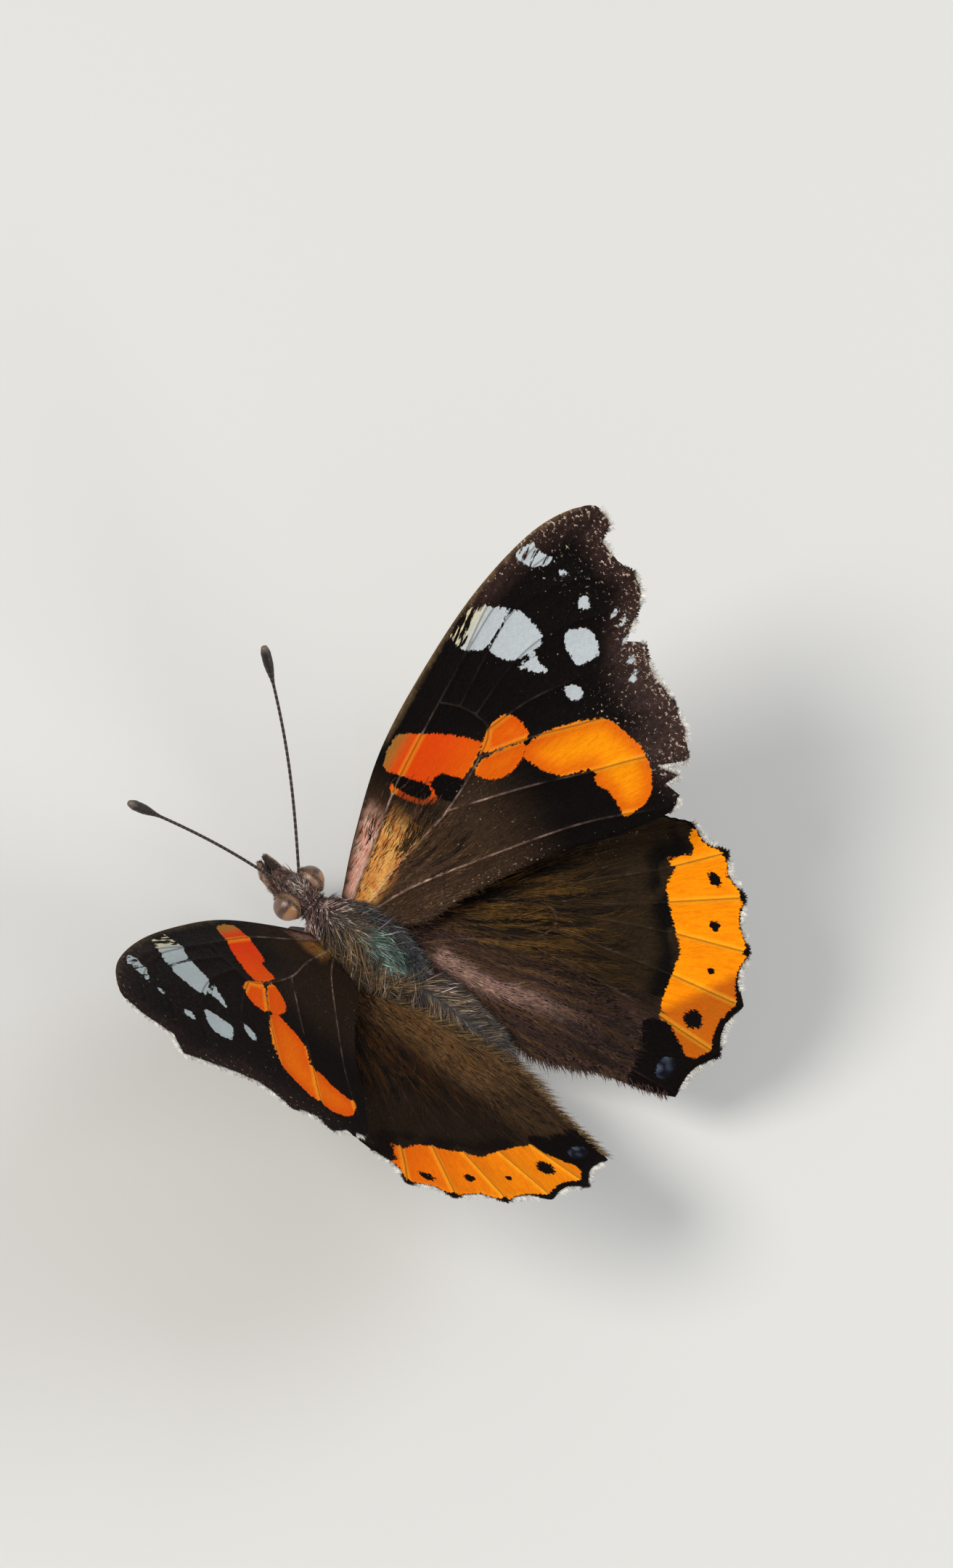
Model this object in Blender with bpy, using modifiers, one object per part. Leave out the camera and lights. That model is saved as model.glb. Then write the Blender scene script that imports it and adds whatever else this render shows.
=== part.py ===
# Red admiral butterfly, life size, standing on its four walking legs with its wings half raised.
# Lengths below are millimetres in the butterfly's own frame: +X its right side, +Y the way it
# faces, +Z up, zero at the middle of the thorax. The finished part stands with the middle of
# its footprint at the origin.
import math

import bpy
import bmesh
from mathutils import Vector
from mathutils.geometry import delaunay_2d_cdt

MM = 0.001
GAP = 0.3                  # space between one piece and the next
FLOOR = -5.0               # height of the ground under the middle of the thorax
RING_SIDES = 20            # sides round the thorax, abdomen and head

# Rings of the body: place along Y, half width, top and bottom.
THORAX_RINGS = [
    (3.6, 0.80, 0.80, -0.90), (3.2, 1.35, 1.35, -1.45), (2.3, 1.80, 1.85, -1.95),
    (1.0, 2.05, 2.20, -2.30), (-0.5, 2.10, 2.25, -2.35), (-1.9, 1.90, 2.00, -2.15),
    (-3.0, 1.50, 1.55, -1.70), (-3.7, 1.05, 1.05, -1.15),
]
HEAD_RINGS = [
    (3.9, 0.80, 0.80, -0.80), (4.3, 1.10, 1.20, -1.05), (5.0, 1.20, 1.50, -1.15),
    (5.7, 1.10, 1.40, -1.05), (6.2, 0.80, 0.95, -0.75), (6.45, 0.40, 0.45, -0.35),
]
ABDOMEN_FRONT = -4.0
ABDOMEN_LENGTH = 8.35
ABDOMEN_HALF_WIDTH = 1.60
ABDOMEN_SEGMENTS = 7
ABDOMEN_FOLD = 0.07        # how far the skin dips between two segments
ABDOMEN_SIDES = 18
ABDOMEN_SWELL_START = 0.22 # where on a half sine wave its outline starts, and how blunt it is
ABDOMEN_BLUNTNESS = 0.75
ABDOMEN_TOP = 0.95         # height above and below its middle line, for each half width
ABDOMEN_BOTTOM = 1.05
ABDOMEN_SAG = 0.12         # how far the middle line lies low at the front
TAIL_RADIUS = 0.22
RINGS_A_SEGMENT = 3

EYE_CENTRE = Vector((1.00, 5.0, 0.42))
EYE_RADII = Vector((0.82, 0.84, 0.93))
EYE_INNER_FACE = 0.82      # the eye is cut flat here, against the side of the head
EYE_SIDES = 20
EYE_RINGS = 12

ANTENNA_ROOT = Vector((0.42, 5.4, 1.0))
ANTENNA_REACH = Vector((6.25, 10.1, 10.1))   # root to tip
ANTENNA_BOW = {"right": 0.6, "left": -0.35}  # how far each shaft bows outwards
ANTENNA_RADIUS = 0.25
CLUB_RADIUS = 0.50
CLUB_START = 0.86          # shares of the length where the club begins and is full
CLUB_FULL = 0.94
ANTENNA_TIP_RADIUS = 0.15
SHAFT_SHARE = 2 / 3        # share of the length that has the wider steps
SHAFT_STEPS = 8
CLUB_STEPS = 6

PALP_ROOT = Vector((0.45, 5.8, -0.20))
PALP_BEND = Vector((0.47, 7.0, 0.05))
PALP_TIP = Vector((0.42, 7.85, 0.75))
PALP_RADII = (0.29, 0.28, 0.13)

# Each leg runs from its root in the thorax over the knee and the ankle to the toe.
LEGS = {
    "foreleg": [(0.75, 2.6, -1.3), (1.15, 4.2, -2.35), (1.0, 3.0, -2.75), (0.95, 2.2, -2.8)],
    "midleg": [(1.0, 0.7, -1.6), (4.2, 1.9, -1.9), (5.9, 2.7, -4.80), (8.1, 3.9, -4.84)],
    "hindleg": [(0.9, -1.9, -1.5), (3.5, -4.6, -1.9), (4.9, -6.6, -4.80), (6.2, -9.3, -4.84)],
}
LEG_RADII = (0.42, 0.34, 0.28, 0.26)
LEG_STANDS = {"foreleg": False, "midleg": True, "hindleg": True}
LIMB_ROUNDNESS = 2

# Wings: membrane and veins.
MEMBRANE = 0.50
VEIN_THICKNESS = 0.84
VEIN_HALF_WIDTH = 0.38
MARGIN_STEP = 1.3
VEIN_STEP = 1.9
FIELD_STEP = 2.1
FIELD_REACH = 40           # longer than any wing
FIELD_ROW = 0.87           # space between rows of points, for each step
EDGE_ROOM = 0.45           # how many steps a point keeps from the edge, and from a vein
VEIN_ROOM = 0.55
CORNER_MERGE = 0.02
FORE_CAMBER = 0.30         # how far the middle of the forewing arches up
FORE_DROOP = 0.40          # how far its front edge bends down
HIND_CAMBER = 0.15
HIND_TUCK = 0.9            # how far the hindwing's front dips near its root, under the forewing
TUCK_START = -4.5          # distance forward where that dip begins
TUCK_FULL = 0.5
TUCK_FADE = (7.0, 15.0)    # distance out over which it fades away

# Where each wing is hinged, and how it is held on each side: the angle above level, the sweep
# of its long axis towards the head, and the turn about that axis that lowers its front edge.
FORE_LENGTH = 30.5
HIND_LENGTH = 20.0
FORE_HINGE = Vector((1.91, 2.10, 0.88))
HIND_HINGE = Vector((1.61, -1.10, 0.28))
WING_POSE = {
    "forewing_right": (51.4, 6.5, 0.7),
    "forewing_left": (49.2, 11.4, -6.0),
    "hindwing_right": (41.3, -16.0, -4.9),
    "hindwing_left": (37.4, -9.5, 11.2),
}

# Wing outlines: distance out from the hinge along the wing, distance forward, and whether the
# edge turns sharply there, as at a tear or a vein's tip, or runs through in a curve.
ROUND = False
SHARP = True
FORE_FRONT = [
    (-0.6, 0.8, SHARP), (3.4, 2.0, ROUND), (9.0, 3.2, ROUND), (15.0, 3.4, ROUND),
    (21.6, 3.0, ROUND), (27.4, 1.7, ROUND),
]
FORE_OUTER_RIGHT = [
    (30.7, -0.4, ROUND), (30.5, -2.1, SHARP), (29.3, -2.0, SHARP), (28.7, -3.5, ROUND),
    (28.7, -4.8, SHARP), (27.6, -5.8, ROUND), (24.7, -6.4, SHARP), (25.2, -7.4, SHARP),
    (23.9, -8.7, ROUND), (23.2, -10.4, ROUND), (22.0, -12.1, SHARP), (20.3, -13.2, SHARP),
    (19.0, -11.9, SHARP), (19.2, -13.2, SHARP), (18.2, -12.8, SHARP), (18.1, -13.8, SHARP),
]
FORE_OUTER_LEFT = [
    (30.6, -0.4, ROUND), (30.5, -2.1, ROUND), (29.1, -4.0, SHARP), (29.9, -5.4, SHARP),
    (28.3, -6.2, ROUND), (25.8, -7.5, SHARP), (24.0, -8.8, ROUND), (22.9, -10.7, SHARP),
    (21.1, -11.7, ROUND), (20.3, -13.0, SHARP), (18.4, -13.3, ROUND),
]
FORE_INNER = [
    (16.7, -13.8, ROUND), (13.1, -11.5, ROUND), (10.5, -9.4, ROUND), (7.4, -7.4, ROUND),
    (3.9, -5.6, ROUND), (1.6, -4.0, ROUND), (0.5, -1.9, ROUND), (-0.6, -1.4, SHARP),
]
HIND_FRONT = [
    (-0.6, 0.7, SHARP), (2.2, 1.2, ROUND), (5.8, 1.7, ROUND), (12.5, 0.6, ROUND),
    (16.7, -1.8, ROUND),
]
HIND_FIRST_TIP = {"right": (19.6, -4.8), "left": (18.5, -5.0)}     # worn on the left
HIND_VEIN_TIPS = [
    (20.2, -7.5), (19.4, -10.4), (17.5, -13.3), (15.1, -15.8), (12.0, -17.5), (8.2, -18.0),
]
HIND_SCALLOP = 0.45        # depth of the bay between two vein tips
HIND_INNER = [
    (7.0, -16.7, ROUND), (5.0, -13.8, ROUND), (3.2, -10.7, ROUND), (2.3, -7.5, ROUND),
    (1.7, -4.3, ROUND), (0.6, -1.9, ROUND), (-0.6, -1.5, SHARP),
]

# Main veins, from the root outwards.
FORE_VEINS = [
    [(-0.2, 0.1), (4.0, 0.7), (8.0, 1.3), (12.5, 1.5), (17.0, 1.6), (22.0, 1.9), (26.5, 1.2), (29.9, 0.2)],
    [(-0.2, -0.8), (4.6, -1.4), (8.6, -2.2), (12.9, -2.3), (14.8, -1.9), (15.1, -0.8), (14.9, 0.3),
     (14.3, 1.5)],
    [(0.4, -1.5), (2.9, -2.7), (6.9, -5.3), (12.8, -9.5), (16.9, -13.4)],
    [(8.6, -2.2), (12.8, -5.5), (16.2, -8.5), (18.7, -10.6), (20.6, -12.6)],
    [(12.9, -2.3), (15.7, -4.2), (18.2, -6.3), (20.5, -8.3), (22.6, -10.6)],
    [(14.8, -1.9), (18.0, -3.2), (21.4, -5.3), (24.6, -7.6)],
    [(15.1, -0.8), (19.3, -1.2), (22.4, -2.2), (24.8, -3.9), (26.6, -5.8)],
    [(14.9, 0.3), (19.2, 0.5), (22.4, 0.3), (25.6, -1.4), (28.4, -4.3)],
    [(17.0, 1.6), (22.6, 1.4), (27.0, 0.0), (29.6, -1.9)],
]
HIND_VEINS = [
    [(-0.2, 0.0), (3.5, -0.3), (8.0, -0.6), (14.0, -2.4), (18.6, -4.6)],
    [(3.5, -0.3), (5.5, -1.2), (10.5, -3.2), (16.0, -5.9), (19.8, -7.4)],
    [(6.6, -1.7), (8.9, -3.3), (13.0, -6.4), (19.0, -10.2)],
    [(-0.2, -0.7), (3.5, -2.6), (6.6, -4.8), (8.6, -5.2), (9.3, -4.4), (8.9, -3.3)],
    [(9.3, -4.4), (13.3, -8.4), (17.2, -13.0)],
    [(8.6, -5.2), (12.1, -10.6), (14.8, -15.3)],
    [(6.6, -4.8), (9.6, -11.0), (11.9, -17.0)],
    [(0.4, -1.3), (2.9, -5.8), (5.6, -11.8), (8.2, -17.4)],
]

COLOURS = {
    "thorax": ((0.075, 0.062, 0.040), 0.75),
    "abdomen": ((0.045, 0.036, 0.026), 0.75),
    "head": ((0.060, 0.045, 0.030), 0.70),
    "eye": ((0.360, 0.230, 0.110), 0.25),
    "palp": ((0.050, 0.034, 0.024), 0.70),
    "antenna": ((0.018, 0.014, 0.012), 0.45),
    "leg": ((0.150, 0.100, 0.070), 0.60),
    "forewing": ((0.020, 0.014, 0.010), 0.60),
    "hindwing": ((0.055, 0.038, 0.022), 0.60),
}


def clear_scene():
    for thing in list(bpy.data.objects):
        bpy.data.objects.remove(thing, do_unlink=True)


def new_collection(name):
    group = bpy.data.collections.new(name)
    bpy.context.scene.collection.children.link(group)
    return group


def finish_for(kind):
    """The material of one kind of sub-part, made once."""
    material = bpy.data.materials.get(kind)
    if material is None:
        colour, roughness = COLOURS[kind]
        material = bpy.data.materials.new(kind)
        material.use_nodes = True
        shader = material.node_tree.nodes["Principled BSDF"]
        shader.inputs["Base Color"].default_value = (*colour, 1.0)
        shader.inputs["Roughness"].default_value = roughness
        shader.inputs["Metallic"].default_value = 0.0
        material.diffuse_color = (*colour, 1.0)
    return material


def face_outwards(made):
    bmesh.ops.recalc_face_normals(made, faces=made.faces)
    if made.calc_volume(signed=True) < 0:
        bmesh.ops.reverse_faces(made, faces=made.faces)


def object_from(name, mesh_maker, group, kind=None):
    """An object made from a bmesh in millimetres."""
    mesh = bpy.data.meshes.new(name)
    for vert in mesh_maker.verts:
        vert.co *= MM
    face_outwards(mesh_maker)
    mesh_maker.to_mesh(mesh)
    mesh_maker.free()
    thing = bpy.data.objects.new(name, mesh)
    group.objects.link(thing)
    if kind:
        mesh.materials.append(finish_for(kind))
        mesh.shade_smooth()
    else:
        thing.hide_render = True
        thing.display_type = "WIRE"
    return thing


def apply_modifiers(thing):
    """Bake an object's modifiers into its mesh."""
    depsgraph = bpy.context.evaluated_depsgraph_get()
    baked = bpy.data.meshes.new_from_object(thing.evaluated_get(depsgraph))
    thing.modifiers.clear()
    old = thing.data
    thing.data = baked
    bpy.data.meshes.remove(old)


def cut(thing, cutter):
    """Take the cutter's space out of a piece."""
    trim = thing.modifiers.new("cut", "BOOLEAN")
    trim.operation = "DIFFERENCE"
    trim.object = cutter
    trim.solver = "EXACT"
    apply_modifiers(thing)
    keep_largest(thing)


def keep_largest(thing):
    """Drop loose scraps that a cut leaves, and keep the one main closed surface."""
    made = bmesh.new()
    made.from_mesh(thing.data)
    left = set(made.verts)
    islands = []
    while left:
        stack = [left.pop()]
        island = set(stack)
        while stack:
            for edge in stack.pop().link_edges:
                for vert in edge.verts:
                    if vert in left:
                        left.discard(vert)
                        island.add(vert)
                        stack.append(vert)
        islands.append(island)
    islands.sort(key=len)
    for island in islands[:-1]:
        bmesh.ops.delete(made, geom=list(island), context="VERTS")
    bmesh.ops.dissolve_degenerate(made, dist=0.000004, edges=made.edges)
    made.to_mesh(thing.data)
    made.free()


def loft(rings, sides, grow=0.0):
    """A closed body through egg-shaped rings (place along Y, half width, top, bottom)."""
    made = bmesh.new()
    loops = []
    last = len(rings) - 1
    outward = grow if rings[0][0] > rings[-1][0] else -grow
    for index, (along, half_width, top, bottom) in enumerate(rings):
        shift = outward if index == 0 else -outward if index == last else 0.0
        loop = []
        for side in range(sides):
            angle = 2 * math.pi * side / sides
            up = math.sin(angle)
            height = (top + grow) * up if up > 0 else -(bottom - grow) * up
            loop.append(made.verts.new(((half_width + grow) * math.cos(angle), along + shift, height)))
        loops.append(loop)
    for one, two in zip(loops, loops[1:]):
        for side in range(sides):
            nxt = (side + 1) % sides
            made.faces.new((one[side], one[nxt], two[nxt], two[side]))
    for loop in (loops[0], loops[-1]):
        made.faces.new(loop)
    return made


def abdomen_rings():
    """Seven ringed segments on a spindle that narrows to the tail."""
    rings = []
    steps = ABDOMEN_SEGMENTS * RINGS_A_SEGMENT
    for step in range(steps + 1):
        share = step / steps
        wave = math.sin(math.pi * (ABDOMEN_SWELL_START + (1 - ABDOMEN_SWELL_START) * share))
        half_width = max(TAIL_RADIUS, ABDOMEN_HALF_WIDTH * max(0.0, wave) ** ABDOMEN_BLUNTNESS)
        if step % RINGS_A_SEGMENT == 0 and 0 < step < steps:
            half_width -= ABDOMEN_FOLD
        middle = -ABDOMEN_SAG * (1 - share)
        rings.append((ABDOMEN_FRONT - ABDOMEN_LENGTH * share, half_width,
                      middle + half_width * ABDOMEN_TOP, middle - half_width * ABDOMEN_BOTTOM))
    return rings


def tube(name, points, radii, group, kind):
    """A limb along points, as thick at each as radii says, with round closed ends."""
    curve = bpy.data.curves.new(name, "CURVE")
    curve.dimensions = "3D"
    curve.bevel_depth = MM
    curve.bevel_resolution = LIMB_ROUNDNESS
    curve.use_fill_caps = True
    spline = curve.splines.new("POLY")
    spline.points.add(len(points) - 1)
    for spot, place, radius in zip(spline.points, points, radii):
        spot.co = (*(Vector(place) * MM), 1.0)
        spot.radius = radius
    limb = bpy.data.objects.new(name + "_curve", curve)
    group.objects.link(limb)
    bpy.context.view_layer.update()
    depsgraph = bpy.context.evaluated_depsgraph_get()
    mesh = bpy.data.meshes.new_from_object(limb.evaluated_get(depsgraph))
    bpy.data.objects.remove(limb, do_unlink=True)
    made = bmesh.new()
    made.from_mesh(mesh)
    bmesh.ops.remove_doubles(made, verts=made.verts, dist=0.000001)
    face_outwards(made)
    made.to_mesh(mesh)
    made.free()
    mesh.name = name
    thing = bpy.data.objects.new(name, mesh)
    mesh.materials.clear()
    mesh.materials.append(finish_for(kind))
    mesh.shade_smooth()
    group.objects.link(thing)
    return thing


def flatten_below(thing, height):
    """Cut a limb level where it stands on the ground."""
    made = bmesh.new()
    made.from_mesh(thing.data)
    everything = made.verts[:] + made.edges[:] + made.faces[:]
    bmesh.ops.bisect_plane(made, geom=everything, dist=0.0000001, plane_co=(0, 0, height * MM),
                           plane_no=(0, 0, -1), clear_outer=True)
    rim = [edge for edge in made.edges if edge.is_boundary]
    bmesh.ops.contextual_create(made, geom=rim)
    face_outwards(made)
    made.to_mesh(thing.data)
    made.free()


def mirrored(place, side):
    return Vector((place[0] * side, place[1], place[2]))


def curve_through(points, share):
    """A point on the curve that runs through four points, between the middle two."""
    before, start, end, after = points
    return 0.5 * (2 * start + (end - before) * share
                  + (2 * before - 5 * start + 4 * end - after) * share ** 2
                  + (3 * start - before - 3 * end + after) * share ** 3)


def smooth_stretch(points, step):
    """Points along a curve through the given ones, about a step apart, the last left out."""
    path = []
    for index in range(len(points) - 1):
        start = points[index]
        end = points[index + 1]
        before = points[index - 1] if index else 2 * start - end
        after = points[index + 2] if index + 2 < len(points) else 2 * end - start
        count = max(1, round((end - start).length / step))
        path += [curve_through((before, start, end, after), k / count) for k in range(count)]
    return path


def outline_from(marks, step):
    """A closed outline from marks (out, forward, sharp), which starts at a sharp one."""
    loop = []
    stretch = []
    for out, forward, sharp in marks + marks[:1]:
        stretch.append(Vector((out, forward)))
        if sharp and len(stretch) > 1:
            loop += smooth_stretch(stretch, step)
            stretch = [Vector((out, forward))]
    return loop


def scalloped(tips, depth):
    """Vein tips with a bay between each two."""
    marks = []
    for tip, following in zip(tips, tips[1:]):
        start = Vector(tip)
        end = Vector(following)
        inward = Vector((end.y - start.y, start.x - end.x)).normalized()
        bay = (start + end) / 2 + inward * depth
        marks += [(start.x, start.y, SHARP), (bay.x, bay.y, ROUND)]
    marks.append((*tips[-1], SHARP))
    return marks


def distance_to_path(spot, path):
    best = 1e9
    for start, end in zip(path, path[1:]):
        run = end - start
        share = max(0.0, min(1.0, (spot - start).dot(run) / run.length_squared))
        best = min(best, (spot - start - run * share).length)
    return best


def inside(spot, loop):
    crossings = 0
    for start, end in zip(loop, loop[1:] + loop[:1]):
        if (start.y > spot.y) != (end.y > spot.y):
            reach = start.x + (spot.y - start.y) * (end.x - start.x) / (end.y - start.y)
            if spot.x < reach:
                crossings += 1
    return crossings % 2 == 1


def vein_lines(vein, loop):
    """The middle of a vein and its two feet, cut off at the wing's edge."""
    middle = smooth_stretch([Vector(mark) for mark in vein], VEIN_STEP) + [Vector(vein[-1])]
    lines = [[], [], []]
    for index, spot in enumerate(middle):
        along = middle[min(index + 1, len(middle) - 1)] - middle[max(index - 1, 0)]
        across = Vector((-along.y, along.x)).normalized() * VEIN_HALF_WIDTH
        for line, offset in zip(lines, (0.0, 1.0, -1.0)):
            line.append(spot + across * offset)
    edge = loop + loop[:1]
    room = VEIN_HALF_WIDTH
    return [[spot for spot in line if inside(spot, loop) and distance_to_path(spot, edge) > room]
            for line in lines]


def wing_flat(loop, veins):
    """The wing in its own plane, split into triangles along its outline and its veins."""
    paths = []
    spots = list(loop)
    edges = [(k, (k + 1) % len(loop)) for k in range(len(loop))]
    for vein in veins:
        lines = vein_lines(vein, loop)
        paths.append(lines[0])
        for line in lines:
            start = len(spots)
            spots += line
            edges += [(start + k, start + k + 1) for k in range(len(line) - 1)]
    rim = loop + loop[:1]
    rows = int(FIELD_REACH / FIELD_STEP)
    for row in range(-rows, rows):
        for column in range(-2, rows):
            spot = Vector(((column + 0.5 * (row % 2)) * FIELD_STEP, row * FIELD_STEP * FIELD_ROW))
            if not inside(spot, loop) or distance_to_path(spot, rim) < EDGE_ROOM * FIELD_STEP:
                continue
            if min(distance_to_path(spot, path) for path in paths) < VEIN_ROOM * FIELD_STEP:
                continue
            spots.append(spot)
    outline = [list(range(len(loop)))]
    corners, _, faces, _, _, _ = delaunay_2d_cdt(spots, edges, outline, 1, CORNER_MERGE)
    return corners, faces, paths


def ramp(value, start, end):
    """0 before start, 1 after end, and straight between."""
    return min(1.0, max(0.0, (value - start) / (end - start)))


def surface_rise(kind, spot):
    """How far the wing's surface stands above its flat plane at a spot (out, forward)."""
    if kind == "forewing":
        arch = FORE_CAMBER * math.sin(math.pi * ramp(spot.x, 0.0, FORE_LENGTH))
        return arch * ramp(spot.y, 3.4, -1.0) - FORE_DROOP * ramp(spot.y, -1.0, 3.2)
    arch = HIND_CAMBER * math.sin(math.pi * ramp(spot.x, 0.0, HIND_LENGTH))
    tuck = HIND_TUCK * ramp(spot.y, TUCK_START, TUCK_FULL) * (1.0 - ramp(spot.x, *TUCK_FADE))
    return arch - tuck


def wing(name, kind, marks, veins, group):
    """One wing: a membrane with raised veins, hinged and held as WING_POSE says."""
    side = 1 if name.endswith("right") else -1
    hinge = FORE_HINGE if kind == "forewing" else HIND_HINGE
    lift, sweep, turn = (math.radians(angle) for angle in WING_POSE[name])
    corners, faces, paths = wing_flat(outline_from(marks, MARGIN_STEP), veins)
    made = bmesh.new()
    verts = []
    for spot in corners:
        out = spot.x * math.cos(sweep) - spot.y * math.sin(sweep)
        forward = spot.x * math.sin(sweep) + spot.y * math.cos(sweep)
        up = surface_rise(kind, spot) - forward * math.sin(turn)
        place = Vector((out * math.cos(lift) - up * math.sin(lift), forward * math.cos(turn),
                        out * math.sin(lift) + up * math.cos(lift)))
        verts.append(made.verts.new(mirrored(hinge + place, side)))
    made.verts.index_update()
    for face in faces:
        made.faces.new([verts[k] for k in face])
    sheet = object_from(name, made, group, kind)
    weights = sheet.vertex_groups.new(name="thickness")
    for index, spot in enumerate(corners):
        near = min(distance_to_path(spot, path) for path in paths)
        ridge = max(0.0, 1.0 - near / VEIN_HALF_WIDTH)
        share = (MEMBRANE + (VEIN_THICKNESS - MEMBRANE) * ridge) / VEIN_THICKNESS
        weights.add([index], share, "REPLACE")
    solid = sheet.modifiers.new("thickness", "SOLIDIFY")
    solid.thickness = VEIN_THICKNESS * MM
    solid.offset = 0.0
    solid.vertex_group = "thickness"
    apply_modifiers(sheet)
    return sheet


def eye(name, side, group, grow=0.0):
    """Half an egg, flat against the side of the head."""
    made = bmesh.new()
    bmesh.ops.create_uvsphere(made, u_segments=EYE_SIDES, v_segments=EYE_RINGS, radius=1.0)
    for vert in made.verts:
        vert.co = Vector([EYE_CENTRE[k] + vert.co[k] * (EYE_RADII[k] + grow) for k in range(3)])
    everything = made.verts[:] + made.edges[:] + made.faces[:]
    bmesh.ops.bisect_plane(made, geom=everything, dist=0.0001,
                           plane_co=(EYE_INNER_FACE - grow, 0, 0), plane_no=(-1, 0, 0), clear_outer=True)
    rim = [edge for edge in made.edges if edge.is_boundary]
    bmesh.ops.contextual_create(made, geom=rim)
    for vert in made.verts:
        vert.co.x *= side
    return object_from(name, made, group, None if grow else "eye")


def antenna(word, side, group):
    points = []
    radii = []
    last = SHAFT_STEPS + CLUB_STEPS
    for step in range(last + 1):
        if step <= SHAFT_STEPS:
            share = SHAFT_SHARE * step / SHAFT_STEPS
        else:
            share = SHAFT_SHARE + (1 - SHAFT_SHARE) * (step - SHAFT_STEPS) / CLUB_STEPS
        spot = ANTENNA_ROOT + ANTENNA_REACH * share
        spot.x += ANTENNA_BOW[word] * math.sin(math.pi * share)
        radius = ANTENNA_RADIUS + (CLUB_RADIUS - ANTENNA_RADIUS) * ramp(share, CLUB_START, CLUB_FULL)
        if step == last:
            radius = ANTENNA_TIP_RADIUS
        points.append(mirrored(spot, side))
        radii.append(radius)
    return tube("antenna_" + word, points, radii, group, "antenna")


def butterfly():
    clear_scene()
    body = new_collection("red_admiral")
    cutters = new_collection("cutters")

    thorax_room = object_from("thorax_room", loft(THORAX_RINGS, RING_SIDES, GAP), cutters)
    head_room = object_from("head_room", loft(HEAD_RINGS, RING_SIDES, GAP), cutters)
    object_from("thorax", loft(THORAX_RINGS, RING_SIDES), body, "thorax")
    object_from("abdomen", loft(abdomen_rings(), ABDOMEN_SIDES), body, "abdomen")
    head = object_from("head", loft(HEAD_RINGS, RING_SIDES), body, "head")

    for word, side in (("right", 1), ("left", -1)):
        eye_room = eye("eye_room_" + word, side, cutters, GAP)
        cut(head, eye_room)
        eye("eye_" + word, side, body)

        feeler = antenna(word, side, body)
        cut(feeler, head_room)
        cut(feeler, eye_room)

        palp = tube("palp_" + word, [mirrored(spot, side) for spot in (PALP_ROOT, PALP_BEND, PALP_TIP)],
                    PALP_RADII, body, "palp")
        cut(palp, head_room)

        for leg_name, joints in LEGS.items():
            leg = tube(leg_name + "_" + word, [mirrored(joint, side) for joint in joints],
                       LEG_RADII, body, "leg")
            cut(leg, thorax_room)
            if LEG_STANDS[leg_name]:
                flatten_below(leg, FLOOR)

        fore_outer = FORE_OUTER_RIGHT if word == "right" else FORE_OUTER_LEFT
        fore = wing("forewing_" + word, "forewing", FORE_FRONT + fore_outer + FORE_INNER,
                    FORE_VEINS, body)
        cut(fore, thorax_room)
        hind_tips = [HIND_FIRST_TIP[word]] + HIND_VEIN_TIPS
        hind_marks = HIND_FRONT + scalloped(hind_tips, HIND_SCALLOP) + HIND_INNER
        hind = wing("hindwing_" + word, "hindwing", hind_marks, HIND_VEINS, body)
        cut(hind, thorax_room)

    stand_at_origin(body)


def stand_at_origin(group):
    """Move the whole butterfly so that the middle of its footprint box is the origin."""
    bpy.context.view_layer.update()
    corners = [vert.co for thing in group.objects for vert in thing.data.vertices]
    low = Vector([min(corner[k] for corner in corners) for k in range(3)])
    high = Vector([max(corner[k] for corner in corners) for k in range(3)])
    shift = Vector((-(low.x + high.x) / 2, -(low.y + high.y) / 2, -low.z))
    for thing in group.objects:
        for vert in thing.data.vertices:
            vert.co += shift
    print("thorax middle at", [round(value, 6) for value in shift])


butterfly()
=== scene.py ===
import math

import bpy
import numpy as np
from mathutils import Matrix, Vector
from mathutils.geometry import delaunay_2d_cdt


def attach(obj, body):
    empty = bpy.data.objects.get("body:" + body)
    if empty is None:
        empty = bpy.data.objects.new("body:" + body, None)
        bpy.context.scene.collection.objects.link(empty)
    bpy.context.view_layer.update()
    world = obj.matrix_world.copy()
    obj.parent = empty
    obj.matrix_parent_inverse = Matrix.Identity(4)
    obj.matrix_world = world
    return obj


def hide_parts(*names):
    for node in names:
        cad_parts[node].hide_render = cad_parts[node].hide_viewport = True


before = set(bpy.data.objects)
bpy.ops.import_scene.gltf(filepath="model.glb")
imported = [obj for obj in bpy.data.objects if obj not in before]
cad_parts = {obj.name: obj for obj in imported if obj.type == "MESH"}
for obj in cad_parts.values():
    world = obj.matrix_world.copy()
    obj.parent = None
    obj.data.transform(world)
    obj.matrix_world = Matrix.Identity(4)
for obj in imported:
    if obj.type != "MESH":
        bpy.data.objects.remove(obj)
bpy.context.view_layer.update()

# Red admiral, life size. Lengths are millimetres in the butterfly's own frame:
# +X its right, +Y the way it faces, +Z up, zero at the middle of the thorax.
mm = 0.001
thoraxMiddle = np.array([0.323, 2.781, 5.0])    # where that zero stands in the frame
floorHeight = -5.0
rng = np.random.default_rng(41)


def tone(red, green, blue, alpha=1.0):    # screen colour 0-255 to the shader's linear colour
    values = [value / 255 for value in (red, green, blue)]
    linear = [v / 12.92 if v <= 0.04045 else ((v + 0.055) / 1.055) ** 2.4 for v in values]
    return (*linear, alpha)


# Camera, floor and light.
view = {
    "right": (0.59530892, -0.7774282, 0.20300907),
    "up": (0.71116306, 0.62739822, 0.3172043),
    "back": (-0.3739711, -0.044462, 0.92637398),    # from the butterfly to the camera
    "distance": 500.0,
    "aim": (0.014031, 0.019714, -1.0),    # the middle of the picture, seen from the camera
    "lens": 188.96,
    "sensor": 36.0,
    "clip": (0.01, 20.0),    # nearest and farthest the camera sees, in metres
}


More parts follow.
